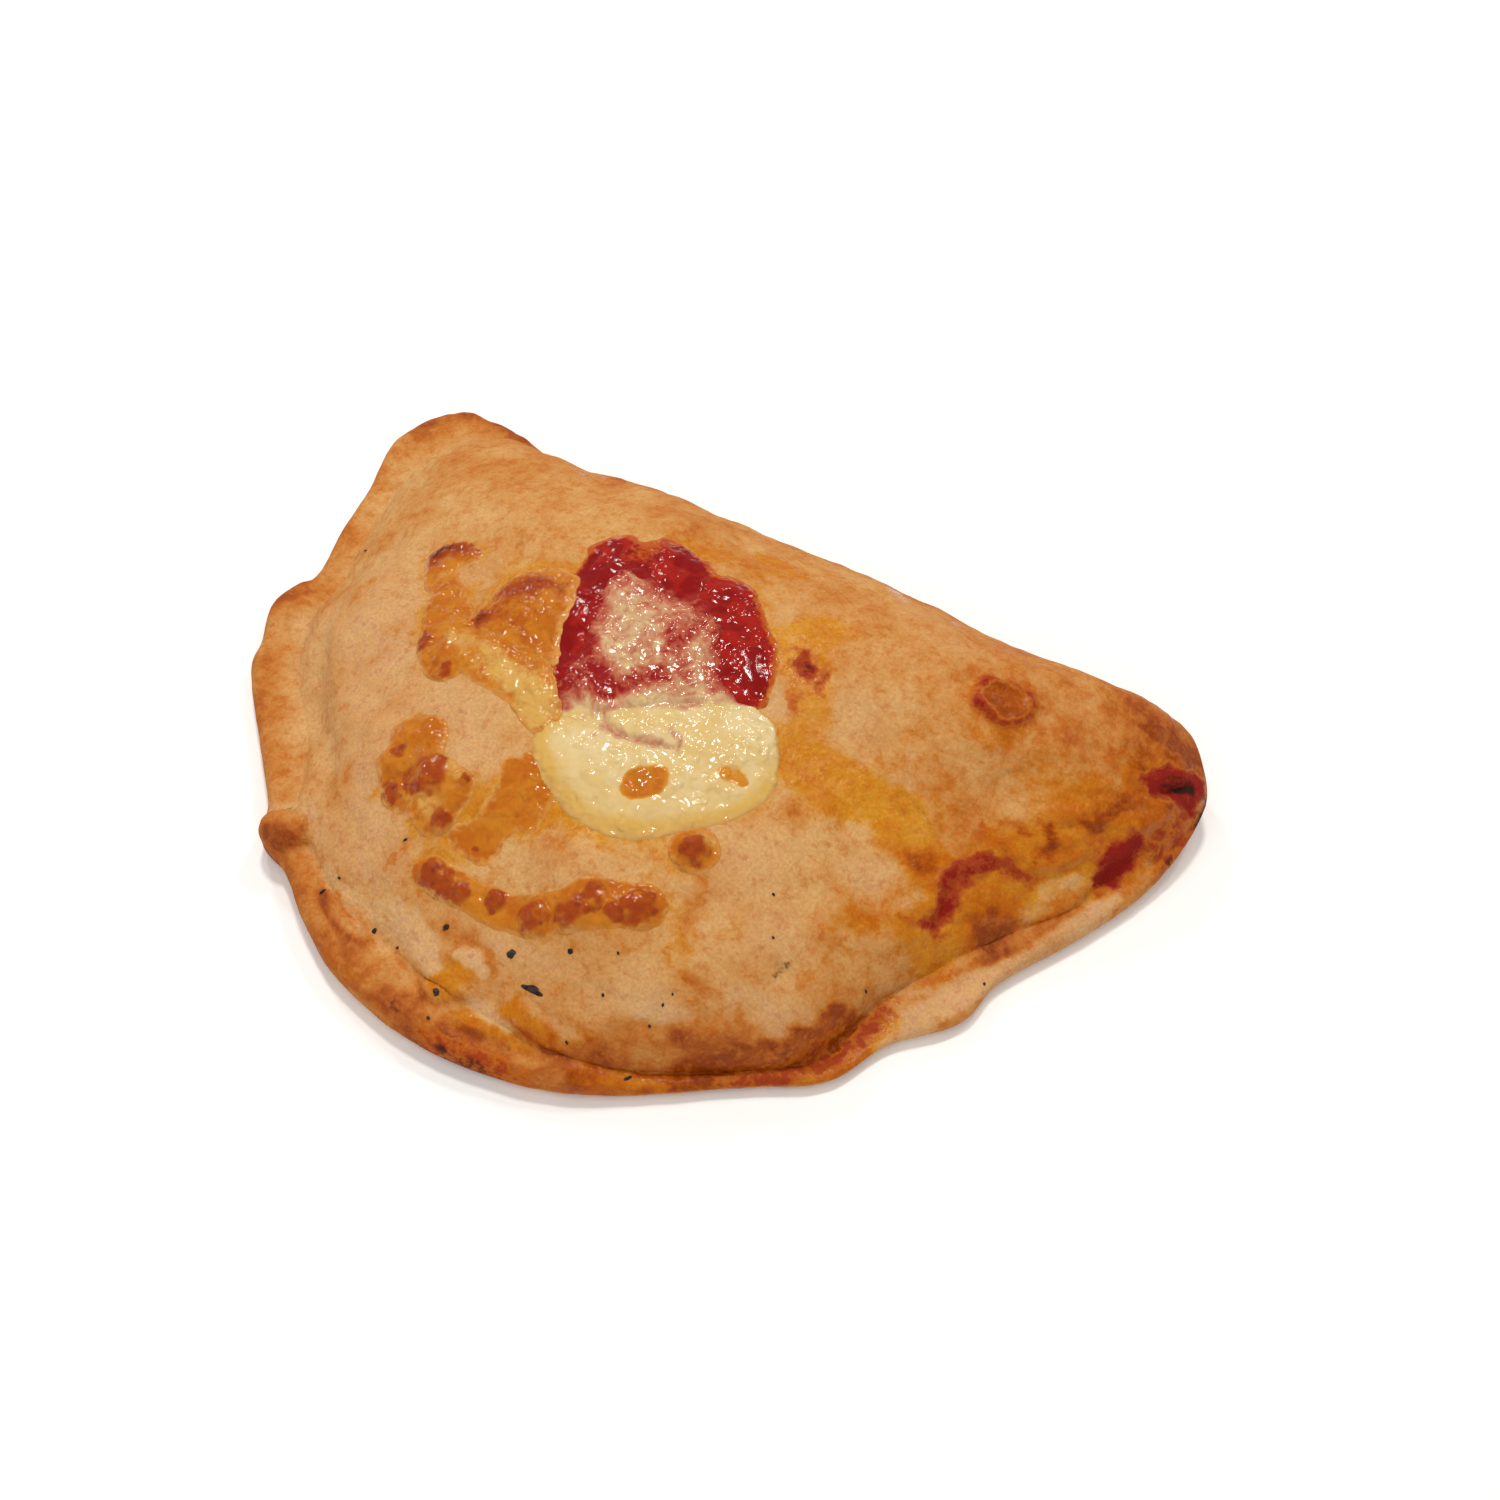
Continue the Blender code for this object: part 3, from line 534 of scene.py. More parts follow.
def dough_points(form, around, top_rings, tuck_rings, base_rings):
    """Rings of points over the top, round the edge and under the base, closest at the edge and
    where the body meets the rim. Gives the points as an array (ring, around, xyz), the angle of each
    column of points, and how far each point is out from CENTRE."""
    fine = np.radians(np.linspace(0, 360, 3601))
    reach = form.at(form.reach, fine)
    step = np.hypot(np.diff(reach), np.diff(fine) * 0.5 * (reach[1:] + reach[:-1]))
    walked = np.concatenate([[0], np.cumsum(step)])
    angle = np.interp(np.arange(around) / around * walked[-1], walked, fine)
    reach, nose, tuck = form.at(form.reach, angle), form.nose(angle), form.tuck(angle)
    samples = np.linspace(0, 1, 700)[:, None] * reach
    height = form.top(angle[None, :] + 0 * samples, samples)
    height[-1] = nose
    length = np.hypot(np.diff(samples, axis=0), np.diff(height, axis=0))
    length *= np.clip(samples[1:] / 42.0, 0.22, 1.0)  # the middle needs fewer rings
    walked = np.concatenate([np.zeros((1, around)), np.cumsum(length, axis=0)])
    wanted = np.linspace(0, 1, top_rings + 1)
    rings = np.zeros((top_rings + tuck_rings + base_rings + 1, around, 3))
    for i in range(around):
        out = np.interp(wanted * walked[-1, i], walked[:, i], samples[:, i])
        rings[: top_rings + 1, i, 0] = out
        rings[: top_rings + 1, i, 2] = np.interp(out, samples[:, i], height[:, i])
    for k in range(1, tuck_rings + 1):
        part = 0.5 * math.pi * k / tuck_rings
        rings[top_rings + k, :, 0] = reach - tuck * (1 - math.cos(part))
        rings[top_rings + k, :, 2] = nose * (1 - math.sin(part))
    base = top_rings + tuck_rings
    for k in range(1, base_rings + 1):
        rings[base + k, :, 0] = rings[base, :, 0] * (1 - k / base_rings)
        rings[base + k, :, 2] = 0.0
    out = rings[..., 0].copy()
    rings[..., 0] = CENTRE[0] + out * np.cos(angle)
    rings[..., 1] = CENTRE[1] + out * np.sin(angle)
    return rings, angle, out


def outward(rings):
    """Unit normals of a closed stack of rings."""
    around = np.roll(rings, -1, axis=1) - np.roll(rings, 1, axis=1)
    down = np.empty_like(rings)
    down[1:-1] = rings[2:] - rings[:-2]
    down[0], down[-1] = rings[1] - rings[0], rings[-1] - rings[-2]
    normal = np.cross(down, around)
    length = np.linalg.norm(normal, axis=-1, keepdims=True)
    normal = normal / np.maximum(length, 1e-9)
    normal[0] = (0, 0, 1)
    normal[-1] = (0, 0, -1)
    return normal


def from_ring(xy):
    """Distance from the middle of the round blister, a little uneven: 1 at its edge."""
    return from_middle(xy, RING) * (1 + 0.10 * uneven(xy, 5, 1, seed=61))


def tapering(place, power):
    """How strong a fold or crease is along its line, easing off at both ends."""
    return np.sin(np.pi * np.clip(place, 0.02, 0.98)) ** power


def dough_relief(rings, form, angle, out):
    """How far the fine surface of the dough stands proud of its plain form, in millimetres."""
    xy = rings[..., :2]
    crease, reach = form.crease(angle), form.at(form.reach, angle)
    on_rim = smooth_step(out, crease - 3, crease + 2) * (1 - form.at(form.fold, angle))
    relief = 0.80 * uneven(rings, 30, 2, seed=3) + 0.55 * uneven(rings, 12, 2, seed=5)
    relief += 0.15 * uneven(rings, 4.5, 2, seed=9) * (1 + on_rim)
    relief += 0.50 * on_rim * uneven(rings, 13, 2, seed=21)
    left = smooth_fall(xy[..., 0], -50, 10)
    relief += 0.28 * left * np.clip(uneven(rings, 6.5, 2, seed=23), -0.3, 1)
    # puckers that gather towards the right-hand tip
    tip = hills(xy, [(104, 40, 24, 30, 0, 1.0)])
    away = xy - PUCKER_POINT
    fan = np.degrees(np.arctan2(away[..., 1], away[..., 0])) % 360
    bend = 5.0 * uneven(rings, 14, 2, seed=31)
    spokes = np.stack([(fan + bend) / 2.2, np.hypot(away[..., 0], away[..., 1]) / 7, 0 * fan], -1)
    relief += 1.1 * tip * (np.clip(np.abs(uneven(spokes, 3.2, 2, 33)), 0, 0.9) - 0.45)
    # shallow folds along the front, where the dough was pressed down
    lap = hills(xy, [(0, -72, 52, 9, 0, 1.0)])
    relief += 0.7 * lap * (np.abs(uneven(rings, 8, 2, seed=41)) - 0.4)
    relief += hills(xy, BUMPS)
    for line, height, reach_out, sharp in LEDGES:
        distance, side, place = beside(xy, line)
        signed = distance * side
        rise = smooth_step(signed, -sharp, sharp) * np.exp(-np.clip(signed, 0, None) / reach_out)
        dent = np.exp(-(((signed + 1.1) / 1.1) ** 2))
        near = smooth_fall(distance, reach_out, 3.2 * reach_out)
        relief += tapering(place, 0.6) * (height * rise - 0.30 * abs(height) * dent) * near
    wander = xy + 0.9 * drift(rings, 6, 1, 51)
    for line, width, depth in CREASES:
        distance, _, place = beside(wander, line)
        # each crease has a faint lip beside it
        lip = 0.3 * np.exp(-(((distance - 2 * width) / width) ** 2))
        relief += depth * tapering(place, 0.5) * (lip - np.exp(-((distance / width) ** 2)))
    # the round blister is a raised ring with a sunken, pitted middle
    ring = from_ring(xy)
    disc = smooth_fall(ring, 0.86, 1.12)
    relief += 0.75 * np.exp(-(((ring - 0.80) / 0.22) ** 2)) + 0.8 * disc
    relief += 0.55 * disc * np.clip(uneven(rings, 2.6, 2, seed=63), -0.4, 1)
    relief += 0.40 * hills(xy, PITTED) * np.clip(uneven(rings, 2.2, 2, seed=71), -0.5, 1)
    # the edge itself is smoother
    return relief * (0.25 + 0.75 * smooth_step(reach - out, 0.0, 3.5))


def finished_mesh(bm, name):
    mesh = bpy.data.meshes.new(name)
    bm.to_mesh(mesh)
    bm.free()
    mesh.shade_smooth()
    return mesh


def points_of(mesh):
    flat = np.empty(len(mesh.vertices) * 3, np.float32)
    mesh.vertices.foreach_get("co", flat)
    return flat.reshape(-1, 3)


def ring_mesh(name, rings):
    """A closed mesh over a stack of rings that starts and ends in a point, made from a sphere."""
    count, around = rings.shape[:2]
    bm = bmesh.new()
    bmesh.ops.create_uvsphere(bm, u_segments=around, v_segments=count - 1, radius=1)
    mesh = finished_mesh(bm, name)
    x, y, z = points_of(mesh).astype(float).T
    ring = np.rint(np.arccos(np.clip(z, -1, 1)) / math.pi * (count - 1)).astype(int)
    segment = np.rint(np.arctan2(y, x) / math.tau % 1.0 * around).astype(int) % around
    mesh.vertices.foreach_set("co", (rings[ring, segment] * MM).astype(np.float32).ravel())
    mesh.update()
    return mesh, ring, segment


def keep(mesh, name, values):
    """Stores one number for each point of the mesh, for its material."""
    layer = mesh.attributes.new(name, "FLOAT", "POINT")
    layer.data.foreach_set("value", np.asarray(values, np.float32).ravel())


def add_object(name, mesh, finish):
    made = bpy.data.objects.new(name, mesh)
    bpy.context.scene.collection.objects.link(made)
    mesh.materials.append(finish)
    return made


# ---------------------------------------------------------------------------------------------
# Finishes
# ---------------------------------------------------------------------------------------------
def put(tree, kind, inputs=None, **settings):
    """Adds a node. Each input takes a plain value or another node's output."""
    made = tree.nodes.new("ShaderNode" + kind)
    for key, value in settings.items():
        setattr(made, key, value)
    for key, value in (inputs or {}).items():
        if isinstance(value, bpy.types.NodeSocket):
            tree.links.new(value, made.inputs[key])
        else:
            made.inputs[key].default_value = value
    return made


def maths(tree, operation, first, second=0.0, clamp=False):
    return put(tree, "Math", {0: first, 1: second}, operation=operation, use_clamp=clamp).outputs[0]


def plus(tree, first, second, amount):
    """The first value and some amount of the second on top."""
    return maths(tree, "ADD", first, maths(tree, "MULTIPLY", second, amount))


def spread_to(tree, value, low, high, to_low=0.0, to_high=1.0):
    """The value stretched from low..high to the new range, eased at both ends."""
    inputs = {"Value": value, "From Min": low, "From Max": high, "To Min": to_low, "To Max": to_high}
    made = put(tree, "MapRange", inputs, interpolation_type="SMOOTHSTEP")
    return made.outputs["Result"]


def blend_colour(tree, amount, first, second, kind="MIX"):
    made = put(tree, "Mix", {0: amount}, data_type="RGBA", blend_type=kind, clamp_factor=True)
    for key, value in ((6, first), (7, second)):
        if isinstance(value, bpy.types.NodeSocket):
            tree.links.new(value, made.inputs[key])
        else:
            made.inputs[key].default_value = (*value, 1.0)
    return made.outputs[2]


def painted(tree, colour, paint, value, low, high):
    """The colour, painted over where the value rises from low to high."""
    return blend_colour(tree, spread_to(tree, value, low, high), colour, paint)


def stored(tree, name):
    """A number stored on the mesh by keep()."""
    return put(tree, "Attribute", attribute_name=name).outputs["Fac"]


def broken_up(tree, name, mottle, **amounts):
    """A stored number with its edges broken up by amounts of the mottling."""
    value = stored(tree, name)
    for kind, amount in amounts.items():
        value = plus(tree, value, mottle[kind], amount)
    return value


def new_group(name, takes, gives):
    """An empty node group that takes numbers and colours, each with its default, and gives others."""
    tree = bpy.data.node_groups.new(name, "ShaderNodeTree")
    for label, default in takes.items():
        kind = "NodeSocketColor" if isinstance(default, tuple) else "NodeSocketFloat"
        tree.interface.new_socket(label, in_out="INPUT", socket_type=kind).default_value = default
    for label, kind in gives.items():
        tree.interface.new_socket(label, in_out="OUTPUT", socket_type="NodeSocket" + kind)
    return tree, tree.nodes.new("NodeGroupInput").outputs, tree.nodes.new("NodeGroupOutput").inputs


def use(tree, group, values):
    """Places a node group in a material or in another group, with its own values."""
    made = tree.nodes.new("ShaderNodeGroup")
    made.node_tree = group
    for key, value in values.items():
        if isinstance(value, bpy.types.NodeSocket):
            tree.links.new(value, made.inputs[key])
        else:
            made.inputs[key].default_value = value
    return made.outputs


def noise(tree, where, size, detail, roughness, distortion=0.0):
    """Noise from 0 to 1 with lumps about size millimetres across."""
    inputs = {
        "Vector": where, "Scale": 1.0 / (size * MM), "Detail": detail, "Roughness": roughness,
        "Distortion": distortion,
    }
    return put(tree, "TexNoise", inputs).outputs["Fac"]


def mottle_group():
    """Uneven browning: broad clouds and small freckles, from -0.5 to 0.5, and dark pinpricks."""
    takes = {"Cloud Fineness": 1.0, "Freckle Fineness": 1.0}
    gives = {"Clouds": "Float", "Freckles": "Float", "Pinpricks": "Float"}
    tree, given, asked = new_group("Mottled crust", takes, gives)
    where = put(tree, "TexCoord").outputs["Object"]
    cloud_at, freckle_at = (
        put(tree, "VectorMath", {0: where, "Scale": given[label]}, operation="SCALE").outputs[0]
        for label in takes
    )
    clouds = noise(tree, cloud_at, 11, 3.0, 0.6, 0.5)
    freckles = noise(tree, freckle_at, 2.6, 3.0, 0.65)
    pricks = noise(tree, freckle_at, 0.9, 2.0, 0.6)
    tree.links.new(spread_to(tree, clouds, 0.32, 0.68, -0.5, 0.5), asked["Clouds"])
    tree.links.new(spread_to(tree, freckles, 0.34, 0.66, -0.5, 0.5), asked["Freckles"])
    tree.links.new(spread_to(tree, pricks, 0.66, 0.78), asked["Pinpricks"])
    return tree


def bake_group():
    """The colours dough and cheese go through in the oven, from pale to burnt."""
    tree, given, asked = new_group("Baked colour", {"Browning": 0.3}, {"Color": "Color"})
    stages = [
        (0.00, (0.63, 0.350, 0.130)), (0.20, (0.59, 0.288, 0.090)), (0.40, (0.55, 0.228, 0.056)),
        (0.58, (0.50, 0.166, 0.030)), (0.72, (0.41, 0.108, 0.019)), (0.84, (0.29, 0.062, 0.013)),
        (0.93, (0.18, 0.034, 0.010)), (1.00, (0.07, 0.017, 0.009)),
    ]
    ramp = put(tree, "ValToRGB", {"Fac": given["Browning"]})
    elements = ramp.color_ramp.elements
    while len(elements) > 1:
        elements.remove(elements[-1])
    elements[0].position, elements[0].color = 0.0, (*stages[0][1], 1.0)
    for place, colour in stages[1:]:
        elements.new(place).color = (*colour, 1.0)
    tree.links.new(ramp.outputs["Color"], asked["Color"])
    return tree


def crumb_group():
    """Height of the fine skin, in millimetres: pores, soft lumps, patchy or not, and faint wrinkles."""
    takes = {"Grain": 0.05, "Lumps": 0.05, "Wrinkles": 0.05, "Patchiness": 0.0}
    tree, given, asked = new_group("Crumb and skin", takes, {"Height": "Float"})
    where = put(tree, "TexCoord").outputs["Object"]
    grain = maths(tree, "MULTIPLY", noise(tree, where, 1.1, 3.0, 0.6), given["Grain"])
    patch = spread_to(tree, noise(tree, where, 6.0, 1.0, 0.5, 0.6), 0.40, 0.60, 0.15, 1.15)
    patch = put(tree, "Mix", {0: given["Patchiness"], 2: 1.0, 3: patch}).outputs[0]
    lumps = maths(tree, "MULTIPLY", noise(tree, where, 1.9, 0.5, 0.35, 0.25), given["Lumps"])
    folds = maths(tree, "SUBTRACT", noise(tree, where, 4.2, 3.0, 0.62, 1.2), 0.5)
    height = plus(tree, plus(tree, grain, lumps, patch), maths(tree, "ABSOLUTE", folds), given["Wrinkles"])
    tree.links.new(height, asked["Height"])
    return tree


def wet_group():
    """Oil and juice on the surface, in patches: how rough that leaves it."""
    takes = {"Wetness": 0.5, "Dry Roughness": 0.5, "Wet Roughness": 0.15}
    tree, given, asked = new_group("Oil and juice", takes, {"Roughness": "Float"})
    where = put(tree, "TexCoord").outputs["Object"]
    patch = spread_to(tree, noise(tree, where, 5.0, 3.0, 0.6), 0.3, 0.7, 0.45, 1.25)
    wet = maths(tree, "MULTIPLY", patch, given["Wetness"], clamp=True)
    mixed = put(tree, "Mix", {0: wet, 2: given["Dry Roughness"], 3: given["Wet Roughness"]})
    tree.links.new(mixed.outputs[0], asked["Roughness"])
    return tree


def thin_edge_group(baked):
    """Fades towards oily, golden crust at the edge of a piece, where it lies as thin as a film.
    Milky turns the gold to cream."""
    takes = {"Color": (1.0, 1.0, 1.0, 1.0), "Clouds": 0.0, "Freckles": 0.0, "Milky": 0.0}
    tree, given, asked = new_group("Thin edge", takes, {"Color": "Color"})
    bare = maths(tree, "ADD", maths(tree, "MULTIPLY", given["Clouds"], 0.25), 0.26)
    gold = use(tree, baked, {"Browning": bare})["Color"]
    gold = blend_colour(tree, 0.40, gold, (0.98, 0.80, 0.20), "MULTIPLY")
    gold = blend_colour(tree, given["Milky"], gold, (0.60, 0.36, 0.11))
    edge = broken_up(tree, "edge", given, Freckles=0.45)
    tree.links.new(painted(tree, gold, given["Color"], edge, 0.08, 0.92), asked["Color"])
    return tree


MOTTLE, BAKE, CRUMB, WET = mottle_group(), bake_group(), crumb_group(), wet_group()
THIN_EDGE = thin_edge_group(BAKE)
WET_ALL_OVER = {"Wetness": 1.2, "Dry Roughness": 0.16, "Wet Roughness": 0.09}


def new_finish(name):
    made = bpy.data.materials.new(name)
    made.use_nodes = True
    return made, made.node_tree, made.node_tree.nodes["Principled BSDF"]


def new_mottle(tree, cloud_fineness=1.0, freckle_fineness=1.0):
    fineness = {"Cloud Fineness": cloud_fineness, "Freckle Fineness": freckle_fineness}
    return use(tree, MOTTLE, fineness)


def give_skin(tree, shader, grain, lumps, wrinkles, patchiness):
    """Bumps the surface with fine skin: the first three are heights in millimetres."""
    values = {"Grain": grain, "Lumps": lumps, "Wrinkles": wrinkles, "Patchiness": patchiness}
    height = use(tree, CRUMB, values)["Height"]
    bump = put(tree, "Bump", {"Height": height, "Distance": MM, "Strength": 1.0})
    tree.links.new(bump.outputs["Normal"], shader.inputs["Normal"])


def join_up(tree, shader, colour, wetness, gloss, glow):
    """Joins the colour and the wet patches to the shader, and sets its gloss and how strongly, in which
    colour and how many metres deep light sinks in."""
    tree.links.new(colour, shader.inputs["Base Color"])
    tree.links.new(use(tree, WET, wetness)["Roughness"], shader.inputs["Roughness"])
    weight, radius, depth = glow
    shader.inputs["Specular IOR Level"].default_value = gloss
    shader.inputs["Subsurface Weight"].default_value = weight
    shader.inputs["Subsurface Radius"].default_value = radius
    shader.inputs["Subsurface Scale"].default_value = depth


def join_up_topping(tree, shader, colour, mottle, gloss, glow, milky=0.0):
    """The same for sauce and cheese, which are wet all over and run out thin at the edge."""
    values = {"Color": colour, "Clouds": mottle["Clouds"], "Freckles": mottle["Freckles"], "Milky": milky}
    colour = use(tree, THIN_EDGE, values)["Color"]
    join_up(tree, shader, colour, WET_ALL_OVER, gloss, glow)


def baked_dough_finish():
    """Pizza dough out of the oven: floury and pale to reddish brown, stained by oil and tomato."""
    made, tree, shader = new_finish("Baked dough")
    mottle = new_mottle(tree)
    where = put(tree, "TexCoord").outputs["Object"]
    flour = stored(tree, "flour")
    # browning, with the painted shadow along the lip in it
    brown = broken_up(tree, "browning_and_shadow", mottle, Clouds=0.20, Freckles=0.16)
    brown = maths(tree, "SUBTRACT", brown, maths(tree, "MULTIPLY", flour, 0.12), clamp=True)
    brown = maths(tree, "MINIMUM", brown, 0.86)
    colour = use(tree, BAKE, {"Browning": brown})["Color"]
    # a pinkish, floury bloom where the crust stayed pale
    bloom = maths(tree, "MULTIPLY", flour, spread_to(tree, mottle["Freckles"], -0.5, 0.5, 0.25, 0.9))
    bloom = maths(tree, "MULTIPLY", bloom, spread_to(tree, brown, 0.28, 0.52, 1.0, 0.0))
    colour = blend_colour(tree, bloom, colour, (0.61, 0.360, 0.190))
    oil = broken_up(tree, "oil", mottle, Clouds=0.5, Freckles=0.25)
    oil = spread_to(tree, oil, 0.10, 0.85)
    colour = blend_colour(tree, oil, colour, (0.98, 0.77, 0.15), "MULTIPLY")
    # tomato juice, from an orange stain to plain sauce
    stain = broken_up(tree, "tomato", mottle, Freckles=0.45)
    colour = painted(tree, colour, (0.48, 0.125, 0.010), stain, 0.08, 0.45)
    colour = painted(tree, colour, (0.34, 0.046, 0.009), stain, 0.36, 0.85)
    colour = painted(tree, colour, (0.26, 0.012, 0.006), stain, 0.90, 1.15)
    burnt = broken_up(tree, "char", mottle, Freckles=0.35)
    colour = painted(tree, colour, (0.040, 0.011, 0.007), burnt, 0.22, 0.75)
    # pores and pinpricks, a little darker than the crust round them
    speck = spread_to(tree, noise(tree, where, 0.8, 2.0, 0.6), 0.3, 0.7)
    speck = blend_colour(tree, speck, (0.86, 0.82, 0.76), (1.0, 1.0, 1.0))
    colour = blend_colour(tree, 1.0, colour, speck, "MULTIPLY")
    pricks = maths(tree, "MULTIPLY", mottle["Pinpricks"], 0.35)
    colour = blend_colour(tree, pricks, colour, (0.70, 0.52, 0.40), "MULTIPLY")
    # thick stains are duller than plain oil
    oily = maths(tree, "MULTIPLY", oil, spread_to(tree, stain, 0.30, 0.75, 1.0, 0.25))
    wetness = {"Wetness": oily, "Dry Roughness": 0.88, "Wet Roughness": 0.17}
    join_up(tree, shader, colour, wetness, gloss=0.13, glow=(0.10, (1.0, 0.42, 0.16), 0.002))
    give_skin(tree, shader, grain=0.20, lumps=0.34, wrinkles=0.25, patchiness=0.4)
    return made


def tomato_finish():
    """Cooked tomato sauce, deep crimson and wet, thin and orange at its edge."""
    made, tree, shader = new_finish("Tomato sauce")
    mottle = new_mottle(tree, 1.8, 1.2)
    depth = spread_to(tree, mottle["Clouds"], -0.5, 0.5)
    colour = blend_colour(tree, depth, (0.21, 0.004, 0.004), (0.34, 0.012, 0.007))
    thin = broken_up(tree, "thin", mottle, Freckles=0.5)
    colour = painted(tree, colour, (0.46, 0.085, 0.010), thin, 0.35, 1.0)
    join_up_topping(tree, shader, colour, mottle, gloss=0.17, glow=(0.06, (1.0, 0.15, 0.08), 0.002))
    give_skin(tree, shader, grain=0.03, lumps=0.44, wrinkles=0.06, patchiness=1.0)
    return made


def cheese_finish():
    """Melted cheese: cream, yellow and oily at the edge, marbled with sauce, golden where it caught."""
    made, tree, shader = new_finish("Melted cheese")
    mottle = new_mottle(tree, 1.3, 1.2)
    where = put(tree, "TexCoord").outputs["Object"]
    body = spread_to(tree, mottle["Clouds"], -0.5, 0.5)
    cream = blend_colour(tree, body, (0.64, 0.445, 0.175), (0.69, 0.53, 0.275))
    yellow = broken_up(tree, "yellow", mottle, Clouds=0.5)
    cream = painted(tree, cream, (0.62, 0.37, 0.085), yellow, 0.1, 1.0)
    # marbling: how much milk there is in the sauce, in streaks that fade out in plain cheese
    streaks = maths(tree, "SUBTRACT", noise(tree, where, 5.5, 3.0, 0.58, 1.8), 0.5)
    fine = maths(tree, "SUBTRACT", noise(tree, where, 1.4, 3.0, 0.6, 0.8), 0.5)
    streaks = plus(tree, maths(tree, "MULTIPLY", streaks, 1.15), fine, 0.40)
    white = stored(tree, "white")
    milk = plus(tree, white, streaks, spread_to(tree, white, 0.72, 0.98, 1.0, 0.12))
    colour = painted(tree, (0.27, 0.008, 0.007), (0.42, 0.085, 0.045), milk, 0.05, 0.36)
    colour = painted(tree, colour, (0.50, 0.21, 0.11), milk, 0.30, 0.56)
    colour = painted(tree, colour, (0.56, 0.345, 0.18), milk, 0.50, 0.74)
    colour = painted(tree, colour, cream, milk, 0.72, 0.92)
    fry = broken_up(tree, "fry", mottle, Freckles=0.22)
    colour = painted(tree, colour, (0.58, 0.22, 0.015), fry, 0.10, 0.45)
    colour = painted(tree, colour, (0.47, 0.125, 0.009), fry, 0.42, 0.95)
    glow = (0.18, (1.0, 0.6, 0.3), 0.0025)
    join_up_topping(tree, shader, colour, mottle, gloss=0.24, glow=glow, milky=0.8)
    give_skin(tree, shader, grain=0.02, lumps=0.72, wrinkles=0.03, patchiness=0.55)
    return made


def fried_cheese_finish():
    """Cheese that ran out thin and fried: orange gold with dark, glossy bubbles."""
    made, tree, shader = new_finish("Fried cheese")
    mottle = new_mottle(tree, 1.8, 1.3)
    body = spread_to(tree, mottle["Clouds"], -0.5, 0.5)
    colour = blend_colour(tree, body, (0.46, 0.120, 0.006), (0.53, 0.180, 0.012))
    pale = broken_up(tree, "pale", mottle, Freckles=0.4)
    colour = painted(tree, colour, (0.60, 0.335, 0.080), pale, 0.1, 0.85)
    fry = broken_up(tree, "fry", mottle, Freckles=0.28)
    colour = painted(tree, colour, (0.33, 0.050, 0.006), fry, 0.05, 0.75)
    colour = painted(tree, colour, (0.10, 0.020, 0.008), fry, 0.78, 1.20)
    join_up_topping(tree, shader, colour, mottle, gloss=0.19, glow=(0.12, (1.0, 0.4, 0.1), 0.002))
    give_skin(tree, shader, grain=0.03, lumps=0.82, wrinkles=0.05, patchiness=0.35)
    return made


def char_finish():
    """Scraps of burnt flour and herb."""
    made, tree, shader = new_finish("Char")
    body = spread_to(tree, new_mottle(tree, 4.0, 3.0)["Freckles"], -0.5, 0.5)
    colour = blend_colour(tree, body, (0.012, 0.010, 0.011), (0.050, 0.032, 0.024))
    tree.links.new(colour, shader.inputs["Base Color"])
    shader.inputs["Roughness"].default_value = 0.55
    shader.inputs["Specular IOR Level"].default_value = 0.2
    give_skin(tree, shader, grain=0.3, lumps=0.2, wrinkles=0.2, patchiness=0.0)
    return made


# ---------------------------------------------------------------------------------------------
# Where the sauce and cheese lie
# ---------------------------------------------------------------------------------------------
SAUCE_EDGE = [
    (-28.5, 18), (-30.5, 27.5), (-30.5, 35.5), (-26, 41), (-21, 41.5), (-17, 46), (-10, 46.5),
    (-5, 44.5), (1, 41), (6, 43), (11, 42.5), (17, 37), (25, 30), (29.5, 22), (31, 14), (24, 10),
    (14, 4), (4, -4),
    (-5, -10), (-10, -9), (-17, -2), (-24, 8),
]
# The film of cheese marbled with sauce, inside the red ring
VEIL_EDGE = [
    (-18, 17), (-20, 24), (-16, 29), (-8, 31), (0, 30), (5, 32), (10, 28), (13, 23), (18, 20),
    (19, 16), (25, 13), (30, 8), (22, -4), (2, -12), (-9, -10), (-13, 1), (-15, 9),
]
# The thick pool of cheese
POOL_EDGE = [
    (-8, -13), (-9, -19), (-3, -26), (5, -29), (15, -31), (26, -28), (35, -20), (42, -11),
    (44, -2), (41, 6), (35, 13), (29, 13), (22, 9), (12, 1), (2, -6), (-4, -9),
]
# Streaks in the marbled film, as strokes of (x, y, half width): thick and white, or red
WHITE_STROKES = [
    [(-14, 21, 1.5), (-9, 19, 4), (-3, 16.5, 5), (3, 12.5, 2.5)],
    [(-12, 11, 2), (-6, 9, 3), (0, 7, 2.5)],
    [(-21, 25, 1.2), (-17, 27.5, 1.5), (-12, 29, 1)],
    [(9, 28, 0.8), (12.5, 22, 1.2), (15, 15, 2), (19, 9, 3), (26, 8, 3.5)],
    [(1, -6, 2), (5, -2.5, 3), (10.5, 1.5, 3.2), (14, 6, 2.2), (14.5, 9.5, 1)],
    [(-4, -9, 3), (5, -12, 4), (14, -6, 4), (26, 2, 5)],
    [(5, 26, 1.2), (9, 22, 1.5), (11, 17, 1.2)],
]
